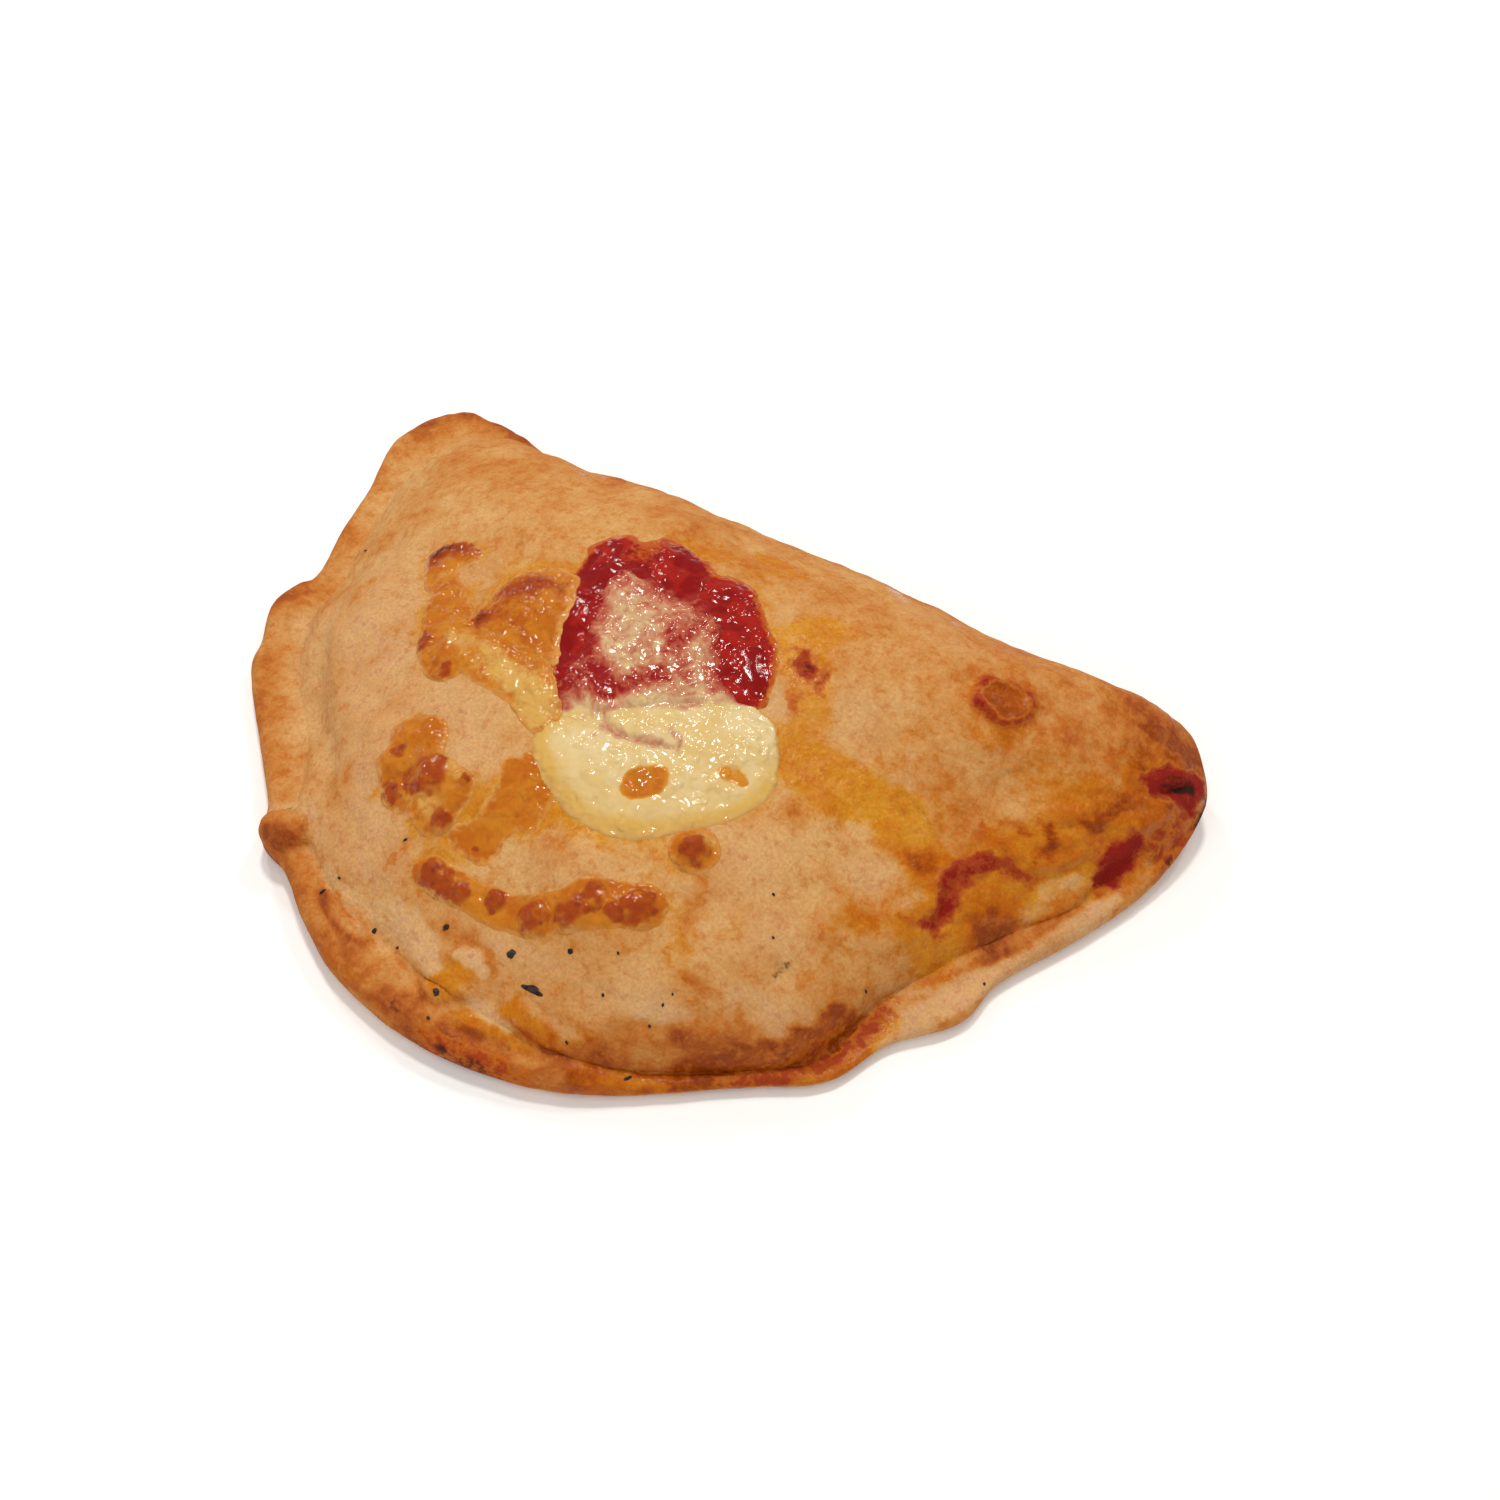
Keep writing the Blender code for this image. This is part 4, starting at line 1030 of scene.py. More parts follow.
RED_STROKES = [
    [(-18, 12, 3), (-15, 7, 3), (-11, 2, 2.5), (-8, -3, 2)],
    [(-9, 3, 3), (-4, -1, 3), (0, 1, 2)],
    [(2, 5, 2), (5.7, 6.6, 2.2), (9, 8, 1.4)],
    [(5, 15, 1.2), (7.5, 20, 1.6), (7.5, 24, 1.4), (5, 28, 1.2)],
    [(2, 20, 0.6), (3.5, 17, 1), (5.5, 12, 0.9)],
    [(-6.5, -6, 1.2), (-4, -7.5, 0.9)],
    [(21.5, -5.4, 0.3), (19.4, -2.9, 0.5), (17.3, -1.6, 0.3)],
    [(2.4, -12, 0.7), (3, -12.4, 0.7)],
    [(1.5, -7, 0.4), (4, -9, 0.5), (7.3, -9.6, 0.6), (12.3, -8.8, 0.5), (17, -7.6, 0.4), (21.7, -5.6, 0.3)],
]
# The edges of the fried pieces: the strand and the band at the left, the knob, the smear beside it,
# the strand along the front and the single drop
LEFT_EDGE = [
    (-61, 7.5), (-65.5, 9), (-70, 13.5), (-72.3, 19.5), (-67, 24), (-60, 23.6), (-57, 20.6), (-61, 18),
    (-61.8, 16), (-59, 13.5), (-52, 9), (-47, 4.5), (-44, 2), (-37, 2.2), (-29, 2), (-21, 0.5),
    (-16, -3), (-10.5, -7.5), (-6, -12.5), (-9, -17.5), (-14, -16.6), (-19, -14), (-24.5, -12.8),
    (-31, -12), (-37, -10.5), (-39, -13), (-43, -15), (-47.5, -13), (-52.5, -9.5), (-55, -4.5), (-59, 1),
]
BAND_EDGE = [
    (-47, 1.5), (-46, 6), (-45, 12), (-43.5, 18), (-39, 21.5), (-34, 24), (-28, 23), (-25, 17),
    (-22.5, 10), (-19.5, 4), (-17, -1), (-24, 0), (-31, 0), (-36, 0), (-41, 0),
]
KNOB_EDGE = [
    (-41, -34), (-43, -29.5), (-40, -25.5), (-34, -24), (-29.5, -26.5), (-27, -31), (-24, -32),
    (-16.5, -33.5), (-14, -36.5), (-15, -40), (-14.8, -44), (-17, -47), (-21, -48), (-26, -46),
    (-30, -46.5), (-34.5, -44.5), (-40, -39),
]
SMEAR_EDGE = [
    (-12, -28), (-9, -24.5), (-7.3, -21.9), (-2.4, -22.5), (1.5, -22), (4, -26), (4, -32), (3, -37.5),
    (0, -39), (-1, -42), (-1, -45.6), (-4, -48.5), (-8, -47.5), (-12, -47), (-13.5, -45), (-11, -41),
    (-9.5, -37), (-9, -33),
]
FRONT_EDGE = [
    (-17, -54), (-14.5, -51.5), (-8.5, -51.5), (1.5, -51.5), (10.5, -50), (18, -46), (21, -42),
    (29, -38.5), (35.5, -35.5), (39.5, -37), (38.5, -42), (30, -48), (18.5, -54.5), (9, -57),
    (-2, -57.5), (-11, -57.5), (-16, -56.5),
]
DROP_EDGE = [(34, -26.5), (38, -28), (42, -26), (43, -22.5), (41, -19.5), (37, -19), (34, -21.5), (33, -24)]
# Bubbles in them: x, y, radius, height
FRONT_BUBBLES = [
    (-13.5, -54.3, 2.8, 1.2), (-9, -55.3, 3.4, 1.4), (-4, -55.6, 2.6, 1.0), (4.5, -53, 2.5, 1.0),
    (15.3, -52.8, 3.8, 1.7), (23, -49, 4.2, 1.9), (25.7, -43.6, 2.9, 1.4), (31, -44.6, 2.4, 1.0),
    (34.8, -41, 4.1, 1.8),
]
KNOB_BUBBLES = [
    (-26.3, -37.3, 5.2, 1.5), (-33, -43.3, 2.9, 1.2), (-17.2, -34.6, 1.3, 0.9),
    (-17, -44.2, 2.4, 1.0), (-37, -35.5, 1.8, 0.3),
]
# Where the pool caught, given as the swellings are: a large oval spot and two small ones
GOLD_SPOTS = [
    (20.4, -16.8, 6.0, 4.4, 50, 1.0), (34.8, -4.6, 4.0, 2.4, 20, 0.9), (38.4, -4.4, 1.6, 1.4, 0, 0.7),
]
# The groove between the pool and the marbled film
POOL_GROOVE = [(3, -8.2), (9.5, -9.4), (16, -8.6), (22, -5.2)]
# Gaps in the sauce's far edge, where it thins out
SAUCE_GAPS = [(-18, 40, 4, 8, -20, 0.9), (0, 36, 9, 3, -15, 0.35)]
# Where the pool is yellow with fat
YELLOW_PATCHES = [(22, -22, 18, 8, 35, 1.0), (0, -24, 9, 6, -30, 0.9)]


def inside_curve(xy, edge):
    """Distance inside a closed edge, negative outside."""
    curve = closed_curve(edge, 5)
    distance, _, _ = beside(xy, np.concatenate([curve, curve[:1]]))
    x, y = xy[..., 0], xy[..., 1]
    inside = np.zeros(xy.shape[:-1], bool)
    for (ax, ay), (bx, by) in zip(curve, np.roll(curve, -1, axis=0), strict=True):
        crossing = (ay > y) != (by > y)
        inside ^= crossing & (x < (bx - ax) * (y - ay) / (by - ay + 1e-12) + ax)
    return np.where(inside, distance, -distance)


def inside_strand(xy, spine):
    """Distance inside a strand along a spine of (x, y, half width)."""
    spine = np.asarray(spine, float)
    best = np.full(xy.shape[:-1], -1e9)
    for a, b in zip(spine[:-1], spine[1:], strict=True):
        run = b[:2] - a[:2]
        t = np.clip(((xy - a[:2]) @ run) / (run @ run), 0, 1)
        gap = np.linalg.norm(xy - a[:2] - t[..., None] * run, axis=-1)
        depth = a[2] + t * (b[2] - a[2]) - gap
        joined = smooth_max(best, depth, 1.5)
        best = np.where(best > -1e8, joined, depth)
    return best


def strokes(xy, lines):
    """How deep each point lies in any of the strokes, negative outside."""
    return np.max([inside_strand(xy, line) for line in lines], axis=0)


def drawn(xy, lines, soft=0.9):
    """Strength of the strongest of the drawn lines at each point."""
    near = [smooth_step(inside_strand(xy, line), -soft, 0.6 * soft) * amount for line, amount in lines]
    return np.max(near, axis=0)


def inside_any(xy):
    """Distance inside whichever of the toppings a point is deepest in, negative outside."""
    edges = (SAUCE_EDGE, POOL_EDGE, LEFT_EDGE, BAND_EDGE, KNOB_EDGE, SMEAR_EDGE, FRONT_EDGE, DROP_EDGE)
    return np.max([inside_curve(xy, edge) for edge in edges], axis=0)


# ---------------------------------------------------------------------------------------------
# The dough
# ---------------------------------------------------------------------------------------------
form = Form()
AROUND, TOP_RINGS, TUCK_RINGS, BASE_RINGS = 700, 116, 7, 6


def stain_dough(mesh, point, relief, from_edge, fold, under):
    """Stores on the mesh where the dough is browned, floury, oily, stained with tomato and burnt, and where
    shadow is painted along the lip.
    """
    xy = point[:, :2]
    warp, fine = drift(point, 9, 3, 81), drift(point, 2.6, 2, 83)
    # plan points that wander strongly, less and hardly, for soft patches, lines and fine edges
    at, tight, close = xy + 2.4 * warp + 0.8 * fine, xy + 1.0 * warp + 0.6 * fine, xy + 0.35 * fine
    pale, cream = hills(at, PALE), drawn(close, CREAM_LINES, 1.3)
    ring, mound = from_ring(close), from_middle(close, MOUND)
    bubble, long_bubble = from_middle(close, ROUND_BUBBLE), from_middle(close, LONG_BUBBLE)
    ring_line = np.exp(-(((ring - 0.90) / 0.19) ** 2)) * (1 + 0.5 * uneven(point, 3, 2, seed=94))

    brown = 0.22 + 0.12 * smooth_step(xy[:, 1], 30, 74) + 0.08 * smooth_step(xy[:, 0], 20, 100)
    brown += 0.20 * smooth_fall(from_edge, 1, 15) * (1 - 0.5 * fold)
    brown += 0.08 * uneven(point, 34, 3, seed=91) + 0.05 * uneven(point, 8, 3, seed=92)
    blotch = uneven(point, 13, 3, seed=95)
    brown += 0.19 * smooth_step(blotch, 0.15, 0.75) - 0.15 * smooth_fall(blotch, -0.8, -0.15)
    brown += hills(at, BROWN) + 0.10 * np.clip(relief, -1, 1)
    brown = np.where(under, 0.42 + 0.14 * uneven(point, 16, 4, seed=93), brown) - 0.14 * pale
    brown = np.clip(brown - 0.40 * cream, 0.02, 0.74 + 0.05 * uneven(point, 5, 2, seed=96))
    brown += 0.36 * smooth_fall(ring, 0.88, 1.06) + 0.40 * ring_line
    brown += 0.13 * smooth_fall(mound, 0.3, 1.3) + 0.26 * smooth_fall(bubble, 0.80, 1.12)
    brown += 0.22 * np.exp(-(((long_bubble - 0.95) / 0.22) ** 2))
    brown += 0.06 * smooth_fall(long_bubble, 0.6, 1.0)
    # the stored browning also carries the painted shadow lines along the lip
    keep(mesh, "browning_and_shadow", np.clip(brown + drawn(tight, BROWN_AND_SHADOW_LINES), 0.02, 0.84))

    flour = hills(at, FLOUR) + cream + 0.6 * pale + 0.8 * smooth_fall(long_bubble, 0.5, 0.9)
    keep(mesh, "flour", np.clip(flour, 0, 1) * ~under)

    oil = hills(at, OIL) + 0.75 * smooth_fall(ring, 0.9, 1.1)
    oil += 0.42 * np.exp(-((np.clip(-inside_any(tight), 0, None) / 2.3) ** 2))
    # the painted shadow along the lip is oily orange as well
    oil += 0.6 * drawn(tight, BROWN_AND_SHADOW_LINES[:2]) + 0.8 * drawn(tight, TOMATO_LINES, 4.5)
    oil += 0.50 * drawn(tight, GOLD_LINES, 3.0) - 0.5 * smooth_fall(mound, 0.5, 1.2)
    oil += 0.30 * uneven(point, 16, 3, seed=97) - 0.6 * smooth_fall(long_bubble, 0.7, 1.1)
    keep(mesh, "oil", np.clip(oil - 0.9 * cream - 0.8 * pale, 0, 1) * ~under)

    leak = drawn(tight + 0.3 * fine, TOMATO_LINES, 1.8) + 0.80 * ring_line
    keep(mesh, "tomato", np.clip(leak, 0, 1.4) * ~under)
    keep(mesh, "char", np.clip(drawn(xy + 0.4 * fine, CHAR_LINES), 0, 1) * (from_edge >= -1))


def make_dough():
    rings, angle, out = dough_points(form, AROUND, TOP_RINGS, TUCK_RINGS, BASE_RINGS)
    relief = dough_relief(rings, form, angle, out)
    place = np.arange(rings.shape[0])[:, None]
    fade = smooth_fall(place, TOP_RINGS + 1, TOP_RINGS + TUCK_RINGS)
    shown = rings + outward(rings) * (relief * fade)[..., None]
    shown[0] = shown[0].mean(axis=0)
    shown[-1] = shown[-1].mean(axis=0)
    shown[..., 2] = np.maximum(shown[..., 2], 0.0)
    mesh, ring, segment = ring_mesh("dough_crust", shown)
    from_edge = form.at(form.reach, angle)[segment] - out[ring, segment]
    fold = form.at(form.fold, angle)[segment]
    under = ring > TOP_RINGS
    stain_dough(mesh, rings[ring, segment], relief[ring, segment], from_edge, fold, under)
    return add_object("dough_crust", mesh, baked_dough_finish())


crust = make_dough()
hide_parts("dough")
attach(crust, "root")

RAY_START = 0.2  # metres, well above the crown


def ray_tree(piece):
    """The triangles of a piece, ready to be looked up by rays."""
    mesh = piece.data
    mesh.calc_loop_triangles()
    corners = np.empty(len(mesh.loop_triangles) * 3, np.int32)
    mesh.loop_triangles.foreach_get("vertices", corners)
    return BVHTree.FromPolygons(points_of(mesh).tolist(), corners.reshape(-1, 3).tolist())


def surface_over(*trees):
    """A function that gives the height of the topmost of the pieces over plan points."""

    def height(xy):
        found = np.zeros(len(xy))
        down = Vector((0, 0, -1))
        for i, (x, y) in enumerate(xy * MM):
            for tree in trees:
                hit = tree.ray_cast(Vector((x, y, RAY_START)), down)[0]
                if hit is not None:
                    found[i] = max(found[i], hit.z / MM)
        return found

    return height


# ---------------------------------------------------------------------------------------------
# Sauce and cheese
# ---------------------------------------------------------------------------------------------
RIM_SINK, BASE_SINK = -0.12, -0.45  # how a topping's rim and its base lie in what is under it
SAUCE_STEP, CHEESE_STEP = 0.55, 0.45  # size of their cells


def lay(name, field, box, step, rest_on, finish, masks):
    """A closed piece lying on the surface. field(xy) gives how far plan points are inside its edge,
    negative outside, and how thick it is, in millimetres. It sinks a little into what it lies on, so
    that its edge closes on it. masks(xy) gives the numbers for its finish, and with them how wide the
    thin edge is (soft) and where it lies on another topping, so that its edge doesn't show (bedded)."""
    (x0, y0), (x1, y1) = box
    nx, ny = round((x1 - x0) / step) + 1, round((y1 - y0) / step) + 1
    grid = np.stack(np.meshgrid(np.linspace(x0, x1, nx), np.linspace(y0, y1, ny)), -1)
    inside, thick = field(grid)
    slope_y, slope_x = np.gradient(inside, step)
    steep = np.maximum(slope_x**2 + slope_y**2, 0.05)
    # the cells that make up the piece, without any that hang on by one side
    near = inside > -0.5 * step
    used = near[:-1, :-1] & near[1:, :-1] & near[:-1, 1:] & near[1:, 1:]
    for _ in range(2):
        wide = np.pad(used, 1).astype(int)
        used &= wide[:-2, 1:-1] + wide[2:, 1:-1] + wide[1:-1, :-2] + wide[1:-1, 2:] >= 2
    index = np.arange(nx * ny).reshape(ny, nx)
    cells = np.stack([index[:-1, :-1], index[:-1, 1:], index[1:, 1:], index[1:, :-1]], -1)[used]
    kept, cells = np.unique(cells, return_inverse=True)
    cells = cells.reshape(-1, 4)
    # the rim is made of the sides that only one cell has
    sides = np.concatenate([cells[:, [k, (k + 1) % 4]] for k in range(4)])
    _, first, count = np.unique(np.sort(sides, axis=1), axis=0, return_index=True, return_counts=True)
    rim = sides[first[count == 1]]
    on_rim = np.zeros(len(kept), bool)
    on_rim[rim.ravel()] = True
    # rim points move onto the edge itself
    xy, depth = grid.reshape(-1, 2)[kept].copy(), inside.reshape(-1)[kept]
    pull = np.stack([slope_x, slope_y], -1).reshape(-1, 2)[kept] / steep.reshape(-1)[kept][:, None]
    xy[on_rim] -= np.clip(pull * depth[:, None], -0.6 * step, 0.6 * step)[on_rim]
    ground = rest_on(xy)
    top = np.column_stack([xy, ground + np.where(on_rim, RIM_SINK, thick.reshape(-1)[kept])])
    bottom = np.column_stack([xy, ground + BASE_SINK])
    below = len(xy)
    walls = np.column_stack([rim[:, 1], rim[:, 0], rim[:, 0] + below, rim[:, 1] + below])
    faces = np.concatenate([cells, cells[:, ::-1] + below, walls])
    mesh = bpy.data.meshes.new(name)
    points = np.concatenate([top, bottom]) * MM
    mesh.from_pydata(points.tolist(), [], faces.tolist())
    mesh.update()
    mesh.shade_smooth()
    looks = masks(grid)
    looks["edge"] = np.clip(inside / looks.pop("soft") + looks.pop("bedded", 0.0), -1, 2)
    for label, values in looks.items():
        flat = values.reshape(-1)[kept]
        keep(mesh, label, np.concatenate([flat, flat]))
    return add_object(name, mesh, finish)


def bubbles(xy, rows):
    """Height of rounded bubbles: x, y, radius, height."""
    total = np.zeros(xy.shape[:-1])
    for at_x, at_y, radius, height in rows:
        apart = np.hypot(xy[..., 0] - at_x, xy[..., 1] - at_y) / radius
        apart = apart * (1 + 0.12 * uneven(xy, radius, 1, seed=int(at_x * 7 + at_y)))
        total = np.maximum(total, height * np.sqrt(np.clip(1 - apart**2, 0, 1)))
    return total


def ragged(xy, seed, amount):
    """Unevenness of an edge, in millimetres."""
    broad, narrow = 1.1 * uneven(xy, 9, 2, seed), 0.7 * uneven(xy, 3.2, 2, seed + 5)
    return amount * (broad + narrow + 0.3 * uneven(xy, 1.3, 1, seed + 9))


def swelling(inside, height, ease):
    """Thickness that rises from the edge inwards, most of it over the first ease millimetres."""
    return height * (1 - np.exp(-np.clip(inside, 0, None) / ease))


def sauce_field(xy):
    inside = inside_curve(xy, SAUCE_EDGE) + 0.5 + ragged(xy, 101, 0.6)
    thick = swelling(inside, 1.3, 3.4) * (1 + 0.35 * uneven(xy, 11, 2, 105))
    thick += 0.13 * uneven(xy, 3.4, 2, 106) * smooth_step(inside, 0, 2)
    return inside, np.maximum(thick, 0.05)


def sauce_masks(xy):
    near_edge = smooth_fall(inside_curve(xy, SAUCE_EDGE), 0.0, 2.6)
    return {"thin": np.clip(near_edge + hills(xy, SAUCE_GAPS), 0, 1), "soft": 1.1}


def whiteness(xy):
    """How thickly the cheese covers the sauce: 0 where it shows red, 1 where it is plain cheese."""
    wander = xy + 1.6 * drift(xy, 7, 3, 107)
    veil_in = inside_curve(wander, VEIL_EDGE)
    pool = inside_curve(wander, POOL_EDGE) + 8 * smooth_fall(veil_in, -3, 0)
    on_sauce_only = smooth_step(inside_curve(xy, SAUCE_EDGE), -1.0, 1.5)
    on_sauce_only *= smooth_fall(inside_curve(xy, POOL_EDGE), -4.0, -1.5)
    pool = smooth_step(pool, -2.5, 2.0) * (1 - on_sauce_only)
    veil = 0.37 + 0.14 * uneven(xy, 8, 2, 109)
    white = smooth_step(strokes(wander, WHITE_STROKES), -3.6, 3.0)
    red = smooth_step(strokes(wander, RED_STROKES), -1.8, 1.4)
    cover = veil + (1 - veil) * np.maximum(0.52 * white, pool)
    cover *= np.maximum(pool, 0.15 + 0.85 * smooth_step(veil_in, -1.0, 4.5))
    return np.clip(cover * (1 - 0.62 * red * (1 - 0.25 * pool)), 0, 1)


def pool_field(xy):
    pool = inside_curve(xy, POOL_EDGE) + 0.4 + ragged(xy, 111, 0.28)
    thick = swelling(pool, 2.1, 6.0) * (1 + 0.14 * uneven(xy, 12, 2, 113))
    veil = inside_curve(xy, VEIL_EDGE) + ragged(xy, 115, 1.2)
    veil_thick = (0.15 + swelling(veil, 0.8, 4.0) * whiteness(xy)) * smooth_step(veil, -0.2, 0.8)
    inside = smooth_max(pool, veil, 1.5)
    total = smooth_max(thick, veil_thick, 0.8)
    total += 0.09 * uneven(xy, 3.0, 2, 117) * smooth_step(inside, 0.5, 4)
    total += 0.26 * uneven(xy, 6.0, 2, 118) * smooth_step(veil, 0, 3)
    groove, _, _ = beside(xy, POOL_GROOVE)
    total -= 0.8 * np.exp(-((groove / 0.8) ** 2))
    total -= 0.15 * smooth_step(hills(xy, GOLD_SPOTS), 0.25, 0.7)
    return inside, np.maximum(total, 0.06)


def pool_masks(xy):
    x, y = xy[..., 0], xy[..., 1]
    wander = xy + 0.35 * drift(xy, 3, 2, 119)
    large, *small = GOLD_SPOTS
    fry = 0.80 * smooth_fall(from_middle(wander, large[:5]), 0.72, 1.05)
    fry = np.maximum(fry, 0.42 * smooth_step(hills(wander, small), 0.25, 0.8))
    yellow = smooth_fall(inside_curve(xy, POOL_EDGE), 0.0, 6.0) * smooth_step(-y + 0.3 * x, 0, 16)
    yellow = np.clip(yellow + 0.30 * hills(xy, YELLOW_PATCHES), 0, 1)
    soft = 1.3 + 2.4 * smooth_step(0.2 * x - y, 12, 28)
    bedded = 2.0 * smooth_step(inside_curve(xy, SAUCE_EDGE), -0.8, 0.8)
    return {"white": whiteness(xy), "yellow": yellow, "fry": fry, "soft": soft, "bedded": bedded}


def fried_field(edge, thickness, rows, seed, ease, rough):
    def field(xy):
        inside = inside_curve(xy, edge) + 0.9 + ragged(xy, seed, 0.6 * rough)
        thick = swelling(inside, thickness, ease) * (1 + 0.3 * uneven(xy, 6, 2, seed + 2))
        lumps = np.clip(uneven(xy, 2.6, 2, seed + 3), -0.4, 1) * smooth_step(inside, 0.2, 1.5)
        thick += 0.35 * thickness * lumps + bubbles(xy, rows) * smooth_step(inside, -0.6, 0.8)
        return inside, np.maximum(thick, 0.05)

    return field


def fried_masks(rows, fry_hills, pale_hills, seed, soft):
    def masks(xy):
        wander = xy + 0.8 * drift(xy, 3, 2, seed + 7)
        domes = bubbles(wander, [(x, y, r * 1.15, 1.0) for x, y, r, _ in rows])
        fry = 0.75 * smooth_step(domes + 0.30 * uneven(xy, 2.2, 2, seed + 9), 0.10, 1.05)
        fry += 0.22 * np.clip(uneven(xy, 3.0, 2, seed + 4), 0, 1)
        fry = np.clip(np.maximum(fry, hills(wander, fry_hills)), 0, 1.3)
        return {"fry": fry, "pale": np.clip(hills(wander, pale_hills), 0, 1), "soft": soft}

    return masks


tomato, cheese, fried = tomato_finish(), cheese_finish(), fried_cheese_finish()
crust_tree = ray_tree(crust)
on_dough = surface_over(crust_tree)

sauce_box, pool_box = ((-36, -17), (38, 54)), ((-26, -37), (50, 38))
sauce = lay("sauce_pool", sauce_field, sauce_box, SAUCE_STEP, on_dough, tomato, sauce_masks)
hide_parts("tomato_sauce")
on_sauce = surface_over(crust_tree, ray_tree(sauce))
pool = lay("cheese_pool", pool_field, pool_box, CHEESE_STEP, on_sauce, cheese, pool_masks)
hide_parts("melted_cheese")

# Each fried piece: its name, the solid it stands for, its edge, thickness and bubbles, where it is
# fried darker and where it is pale, the plan area round it, its seed, how far in from the edge it
# thickens, how ragged it is, and how wide its thin edge is
FRIED = [
    ("fried_strand_left", "cheese_strand_left", LEFT_EDGE, 0.9,
     [(-53, -7, 2.6, 0.5), (-42, -12.5, 2, 0.4)],
     [(-66, 22, 7, 3.0, 12, 0.92), (-70.5, 17.5, 2.8, 4.0, 0, 0.85), (-60, 1, 3, 5, -40, 0.3),
      (-44, -12, 5, 3, -20, 0.35), (-54, 9, 3, 2.4, -40, 0.3), (-53, -7, 4, 2.4, -40, 0.3)],
     [(-28, -7, 14, 4.5, -18, 0.75), (-13, -12, 7, 5, -50, 0.95), (-62, 14, 3, 2, 0, 0.4),
      (-45, -4, 5, 3, -20, 0.45), (-22, -8, 6, 3, -20, 0.3)],
     ((-78, -27), (-1, 31)), 121, 2.0, 0.6, 1.6),
    ("fried_band", "cheese_band", BAND_EDGE, 0.9,
     [(-44, 5, 1.8, 0.4)],
     [(-43.5, 3.5, 4.5, 2.6, 30, 0.95), (-39, 14.5, 6, 3, 40, 0.75), (-34, 19, 7, 2, 5, 0.45),
      (-34, 12, 12, 9, 0, 0.24), (-32, 5, 7, 2, -20, 0.3)],
     [(-40, 18, 5, 2, 30, 0.3)],
     ((-52, -7), (-11, 28)), 131, 2.2, 0.8, 3.0),
    ("fried_knob", "cheese_knob", KNOB_EDGE, 0.9,
     KNOB_BUBBLES, [(-28, -37, 6, 5, 0, 0.50)],
     [(-23, -31, 6, 3.4, -45, 0.85), (-23, -43, 7, 3.4, -10, 0.65), (-32, -35, 3, 3, 0, 0.3)],
     ((-49, -55), (-8, -18)), 141, 1.8, 0.6, 1.8),
    ("fried_smear", "cheese_smear", SMEAR_EDGE, 0.30,
     [(-6, -46, 0.9, 0.25)], [(-6, -46, 1.1, 0.9, 0, 0.6), (-2, -34, 7, 12, 0, 0.12)], [],
     ((-20, -56), (11, -15)), 151, 2.4, 1.1, 2.2),
    ("fried_strand_front", "cheese_strand_front", FRONT_EDGE, 0.9,
     FRONT_BUBBLES, [(-10, -56, 9, 2.4, -5, 0.3)], [(6, -50.5, 12, 1.5, 8, 0.25)],
     ((-24, -64), (46, -29)), 161, 1.6, 0.5, 1.2),
    ("fried_drop", "cheese_drop", DROP_EDGE, 0.7,
     [(38.4, -23.7, 3.4, 1.9)], [(38.4, -23.7, 3.2, 3.0, 0, 0.4)], [(40, -20, 4, 2, 0, 0.5)],
     ((26, -34), (49, -12)), 171, 1.3, 0.4, 1.6),
]
for name, node, edge, thick, rows, fry, pale, box, seed, ease, rough, soft in FRIED:
    field = fried_field(edge, thick, rows, seed, ease, rough)
    masks = fried_masks(rows, fry, pale, seed, soft)
    strand = lay(name, field, box, CHEESE_STEP, on_sauce, fried, masks)
    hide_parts(node)
    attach(strand, "root")
for piece in (sauce, pool):
    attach(piece, "root")


def make_flecks():
    """Char flecks pressed into the crust, each an uneven crumb."""
    bm = bmesh.new()
    for i, (x, y, length, breadth, direction) in enumerate(FLECKS):
        ball = bmesh.ops.create_icosphere(bm, subdivisions=3, radius=1)["verts"]
        co = np.array([vert.co for vert in ball])
        co *= (1 + 0.35 * uneven(co + 7 * i, 0.9, 2, seed=200 + i))[:, None]
        co *= (length / 2, breadth / 2, FLECK_HEIGHT)
        turn = math.radians(direction)
        east = co[:, 0] * math.cos(turn) - co[:, 1] * math.sin(turn)
        north = co[:, 0] * math.sin(turn) + co[:, 1] * math.cos(turn)
        spot = np.column_stack([x + east, y + north])
        height = on_dough(spot) + FLECK_LIFT + co[:, 2]
        for vert, (px, py), z in zip(ball, spot, height, strict=True):
            vert.co = (px * MM, py * MM, z * MM)
    return add_object("char_flecks", finished_mesh(bm, "char_flecks"), char_finish())


flecks = make_flecks()
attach(flecks, "root")


# ---------------------------------------------------------------------------------------------
# Floor, light and camera
# ---------------------------------------------------------------------------------------------
def make_floor():
    bm = bmesh.new()
    bmesh.ops.create_grid(bm, x_segments=1, y_segments=1, size=3.0)
    made, _, shader = new_finish("Floor")
    shader.inputs["Base Color"].default_value = (0.93, 0.925, 0.92, 1.0)
    shader.inputs["Roughness"].default_value = 0.8
    floor = add_object("floor", finished_mesh(bm, "floor"), made)


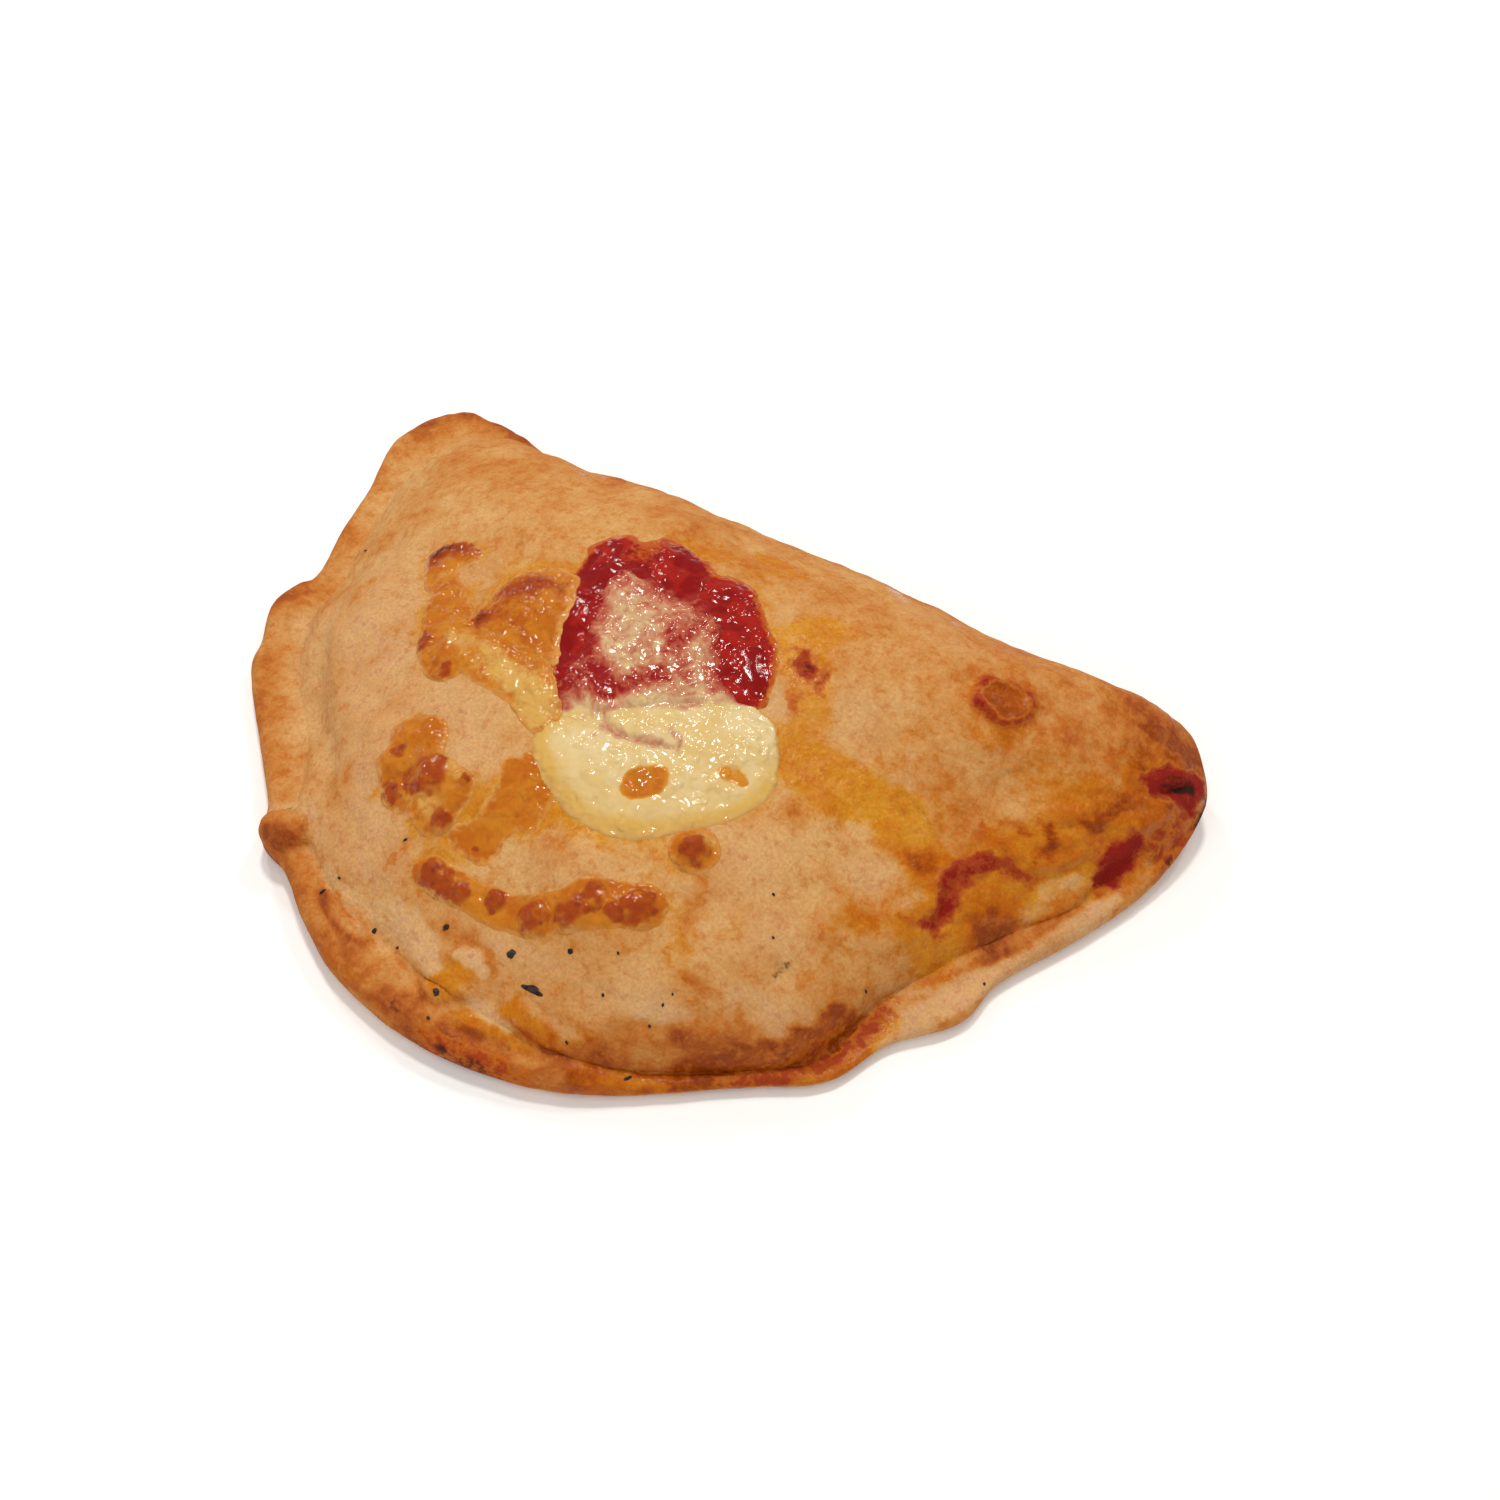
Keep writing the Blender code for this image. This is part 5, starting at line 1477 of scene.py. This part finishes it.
# Round lamps aimed at the crown: name, place and size in metres, power, colour
LAMPS = [
    ("key", (-0.24, 0.43, 1.27), 0.18, 7.2, (1.0, 0.975, 0.93)),
    ("left", (-0.85, 0.60, 0.90), 0.14, 2.6, (1.0, 0.97, 0.92)),
    ("back", (0.14, 0.84, 1.08), 0.14, 2.4, (1.0, 0.97, 0.92)),
    ("fill", (0.30, -0.90, 1.30), 3.0, 18.5, (1.0, 0.985, 0.955)),
]
LAMP_AIM = Vector((0, 0, 0.02))
ROOM_COLOUR, ROOM_LIGHT = (1.0, 0.985, 0.96, 1.0), 0.36


def light_room():
    for name, place, size, power, colour in LAMPS:
        data = bpy.data.lights.new(name, "AREA")
        data.shape, data.size, data.energy, data.color = "DISK", size, power, colour
        lamp = bpy.data.objects.new(name, data)
        lamp.location = place
        lamp.rotation_euler = (LAMP_AIM - Vector(place)).to_track_quat("-Z", "Y").to_euler()
        # the fill is so broad that its reflection would only lay a haze over the wet sauce
        lamp.visible_glossy = name != "fill"
        bpy.context.scene.collection.objects.link(lamp)
    world = bpy.data.worlds.new("room")
    world.use_nodes = True
    background = world.node_tree.nodes["Background"]
    background.inputs["Color"].default_value = ROOM_COLOUR
    background.inputs["Strength"].default_value = ROOM_LIGHT
    bpy.context.scene.world = world
    bpy.context.scene.view_settings.view_transform = "Standard"


# The camera looks down at AIM from the front right, with its angles in degrees
ELEVATION, AZIMUTH, DISTANCE, FOCAL_LENGTH = 52, 33, 0.422, 40
AIM = Vector((0.0193, 0.0276, 0.0))


def place_camera():
    level, turn = math.radians(ELEVATION), math.radians(AZIMUTH)
    flat = math.cos(level)
    back = Vector((math.sin(turn) * flat, -math.cos(turn) * flat, math.sin(level)))
    lens = bpy.data.cameras.new("camera")
    lens.lens, lens.sensor_width, lens.clip_start = FOCAL_LENGTH, 36, 0.01
    camera = bpy.data.objects.new("camera", lens)
    camera.location = AIM + back * DISTANCE
    camera.rotation_euler = (-back).to_track_quat("-Z", "Y").to_euler()
    bpy.context.scene.collection.objects.link(camera)
    bpy.context.scene.camera = camera


make_floor()
light_room()
place_camera()
